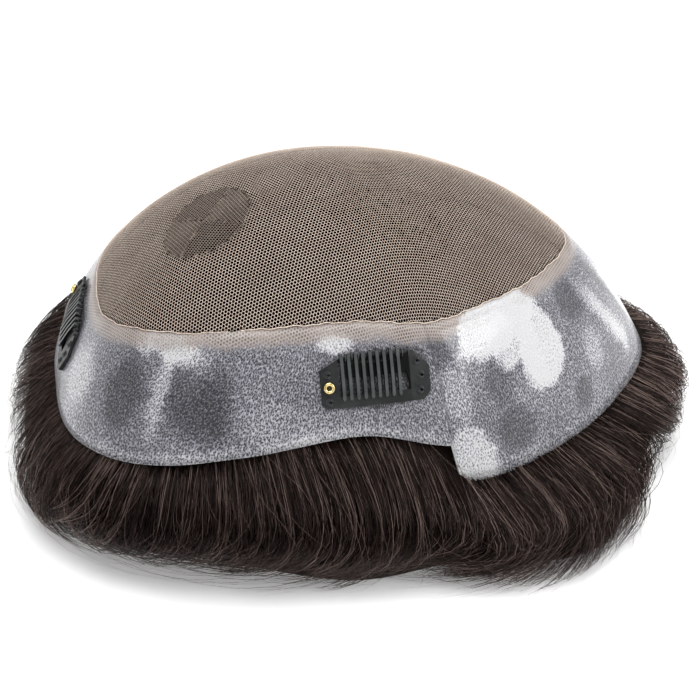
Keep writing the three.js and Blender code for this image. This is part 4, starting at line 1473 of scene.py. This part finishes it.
    def _fallen(self, root: np.ndarray, share: np.ndarray, reach: np.ndarray, pick: dict[str, np.ndarray],
                play: tuple[float, float], random: np.random.Generator) -> tuple[np.ndarray, np.ndarray]:
        """Follows each strand's heading down its length.

        Args:
            root: Degrees round of each root.
            share: Shares of a strand's length.
            reach: How far down each strand ends, where 1 is the foot.
            pick: The locks' own chance, by name.
            play: How much each strand's heading varies, at the root and at the tip.
            random: The seeded source of chance.

        Returns:
            The way down and the millimetres aside, for each strand and share.
        """
        side = np.where(np.sin(np.radians(root)) < 0, 1.0, -1.0)
        leave, arrive = (HEADING_TABLE.read(name, root) for name in ("leave", "arrive"))
        count = len(root)
        leave = leave + pick["leave"] * self.lock_play[0] + random.normal(0, play[0], (count, 1))
        arrive = arrive + pick["arrive"] * self.lock_play[1] + random.normal(0, play[1], (count, 1))
        heading = np.radians(side * (leave + (arrive - leave) * share ** self.bend))
        step = 1 / (share.shape[1] - 1)
        down, aside = (np.concatenate((np.zeros((count, 1)), np.cumsum(
            (values[:, 1:] + values[:, :-1]) / 2 * step, axis=1)), axis=1)
            for values in (np.cos(heading), np.sin(heading)))
        whole = np.maximum(down.max(axis=1, keepdims=True), 0.45)
        return reach * down / whole, reach * self.drop * aside / whole

    def _tucked(self, root: np.ndarray) -> np.ndarray:
        """How closely a strand keeps under the rim, so that those behind a temple step clear its corner."""
        turned = np.abs((root + 180) % FULL_TURN - 180)
        behind = turned - self.form.temple_angle
        return np.where(behind > 0, 1 - ease(behind, *self.tuck_reach), 0.0)


# The studio


@dataclass
class Studio:
    """The floor, the soft lights and the camera at the photograph's angle."""

    origin: tuple[float, float, float] = (0.0135, -0.334, 21.8)
    azimuth: float = -11.914
    elevation: float = 33.992
    distance: float = 476.02
    focal_pixels: float = 1500.0
    centre_pixel: tuple[float, float] = (353.848, 356.522)
    sensor: float = 36.0
    floor_colour: str = "#fbfbfb"
    floor_glow: float = 0.22
    room: float = 0.55
    lamps: tuple[tuple[str, tuple[float, float, float], float, float], ...] = (
        ("overhead", (0.05, 0.1, 0.95), 1.0, 9.0),
        ("front_right", (0.75, -0.5, 0.55), 0.35, 3.1),
        ("left", (-0.7, -0.4, 0.6), 0.35, 0.4),
    )

    def build(self) -> None:
        """Builds the camera, the floor and the lights."""
        self._camera()
        self._floor()
        self._lights()

    def _camera(self) -> None:
        """Places the camera. A small move aside stands for the photograph's off-centre crop."""
        azimuth, elevation = math.radians(self.azimuth), math.radians(self.elevation)
        back = Vector((math.sin(azimuth) * math.cos(elevation), -math.cos(azimuth) * math.cos(elevation),
                       math.sin(elevation)))
        right = Vector((math.cos(azimuth), math.sin(azimuth), 0.0))
        up = back.cross(right)
        aside = [(middle - PHOTO_SIDE / 2) * self.distance / self.focal_pixels for middle in self.centre_pixel]
        place = Vector(self.origin) + back * self.distance - right * aside[0] + up * aside[1]
        data = bpy.data.cameras.new("camera")
        data.sensor_width = self.sensor
        data.lens = self.focal_pixels / PHOTO_SIDE * self.sensor
        data.clip_start = 0.01
        camera = bpy.data.objects.new("camera", data)
        camera.matrix_world = Matrix.Translation(place * MM) @ Matrix((right, up, back)).transposed().to_4x4()
        bpy.context.scene.collection.objects.link(camera)
        bpy.context.scene.camera = camera

    def _floor(self) -> None:
        """A wide pale floor."""
        bm = bmesh.new()
        bmesh.ops.create_grid(bm, x_segments=2, y_segments=2, size=3.0)
        mesh = mesh_from_bmesh("floor", bm)
        material, tree = start_finish("studio_floor")
        add_shader(tree, {
            "Roughness": 0.9, "Specular IOR Level": 0.1, "Base Color": linear(self.floor_colour),
            "Emission Color": linear(self.floor_colour), "Emission Strength": self.floor_glow})
        mesh.materials.append(material)
        floor = bpy.data.objects.new("floor", mesh)
        floor.location.z = -0.05 * MM
        bpy.context.scene.collection.objects.link(floor)

    def _lights(self) -> None:
        """A pale room with a broad light overhead and smaller ones at both sides."""
        world = bpy.data.worlds.new("studio")
        world.use_nodes = True
        world.node_tree.nodes["Background"].inputs["Color"].default_value = (1.0, 1.0, 1.0, 1.0)
        world.node_tree.nodes["Background"].inputs["Strength"].default_value = self.room
        bpy.context.scene.world = world
        for name, place, size, power in self.lamps:
            data = bpy.data.lights.new(name, "AREA")
            data.size = size
            data.energy = power
            lamp = bpy.data.objects.new(name, data)
            lamp.location = place
            lamp.rotation_euler = (Vector((0, 0, 0.04)) - Vector(place)).to_track_quat("-Z", "Y").to_euler()
            bpy.context.scene.collection.objects.link(lamp)
        bpy.context.scene.view_settings.view_transform = "Standard"


CLIP_SEATS = (
    ClipSeat("side_clip_near", -95.5, 0.768, 8.0),
    ClipSeat("side_clip_far", 95.5, 0.768, -8.0),
    ClipSeat("back_clip", 174.0, 0.785, -20.0),
)


def find_shift() -> tuple[float, float]:
    """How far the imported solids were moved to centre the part, from the skin band's front and sides."""
    low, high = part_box("skin_band")
    plain = BaseForm()
    front = plain.point(np.array(0.0), np.array(1.0))[0]
    return high.x / MM - front, (low.y + high.y) / 2 / MM


def main() -> None:
    """Builds the part over its frame."""
    logging.basicConfig(level=logging.INFO, format="%(name)s %(message)s")
    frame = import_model()
    Studio().build()
    form = BaseForm(shift=find_shift())
    log.info("shift %.4f %.4f", *form.shift)
    LaceCap(form).build()
    SkinBand(form).build()
    # The lighter lacquer on the tooth tops is painted highlight, and the near-black lacquer between the teeth
    # is painted shade.
    finishes = (LacquerFinish().make(), LacquerFinish("lit_tooth_lacquer", "#343838", "#4d5251", 0.45).make(),
                LacquerFinish("shaded_recess_lacquer", "#030404", "#0a0b0b", 0.12).make(), BrassFinish().make(),
                SewingThreadFinish().make())
    for seat in CLIP_SEATS:
        SnapClip(form, frame["nodes"], seat).build(*finishes)
    HairMass(form).build()
    HairFall(form).build()


if __name__ == "__main__":
    main()
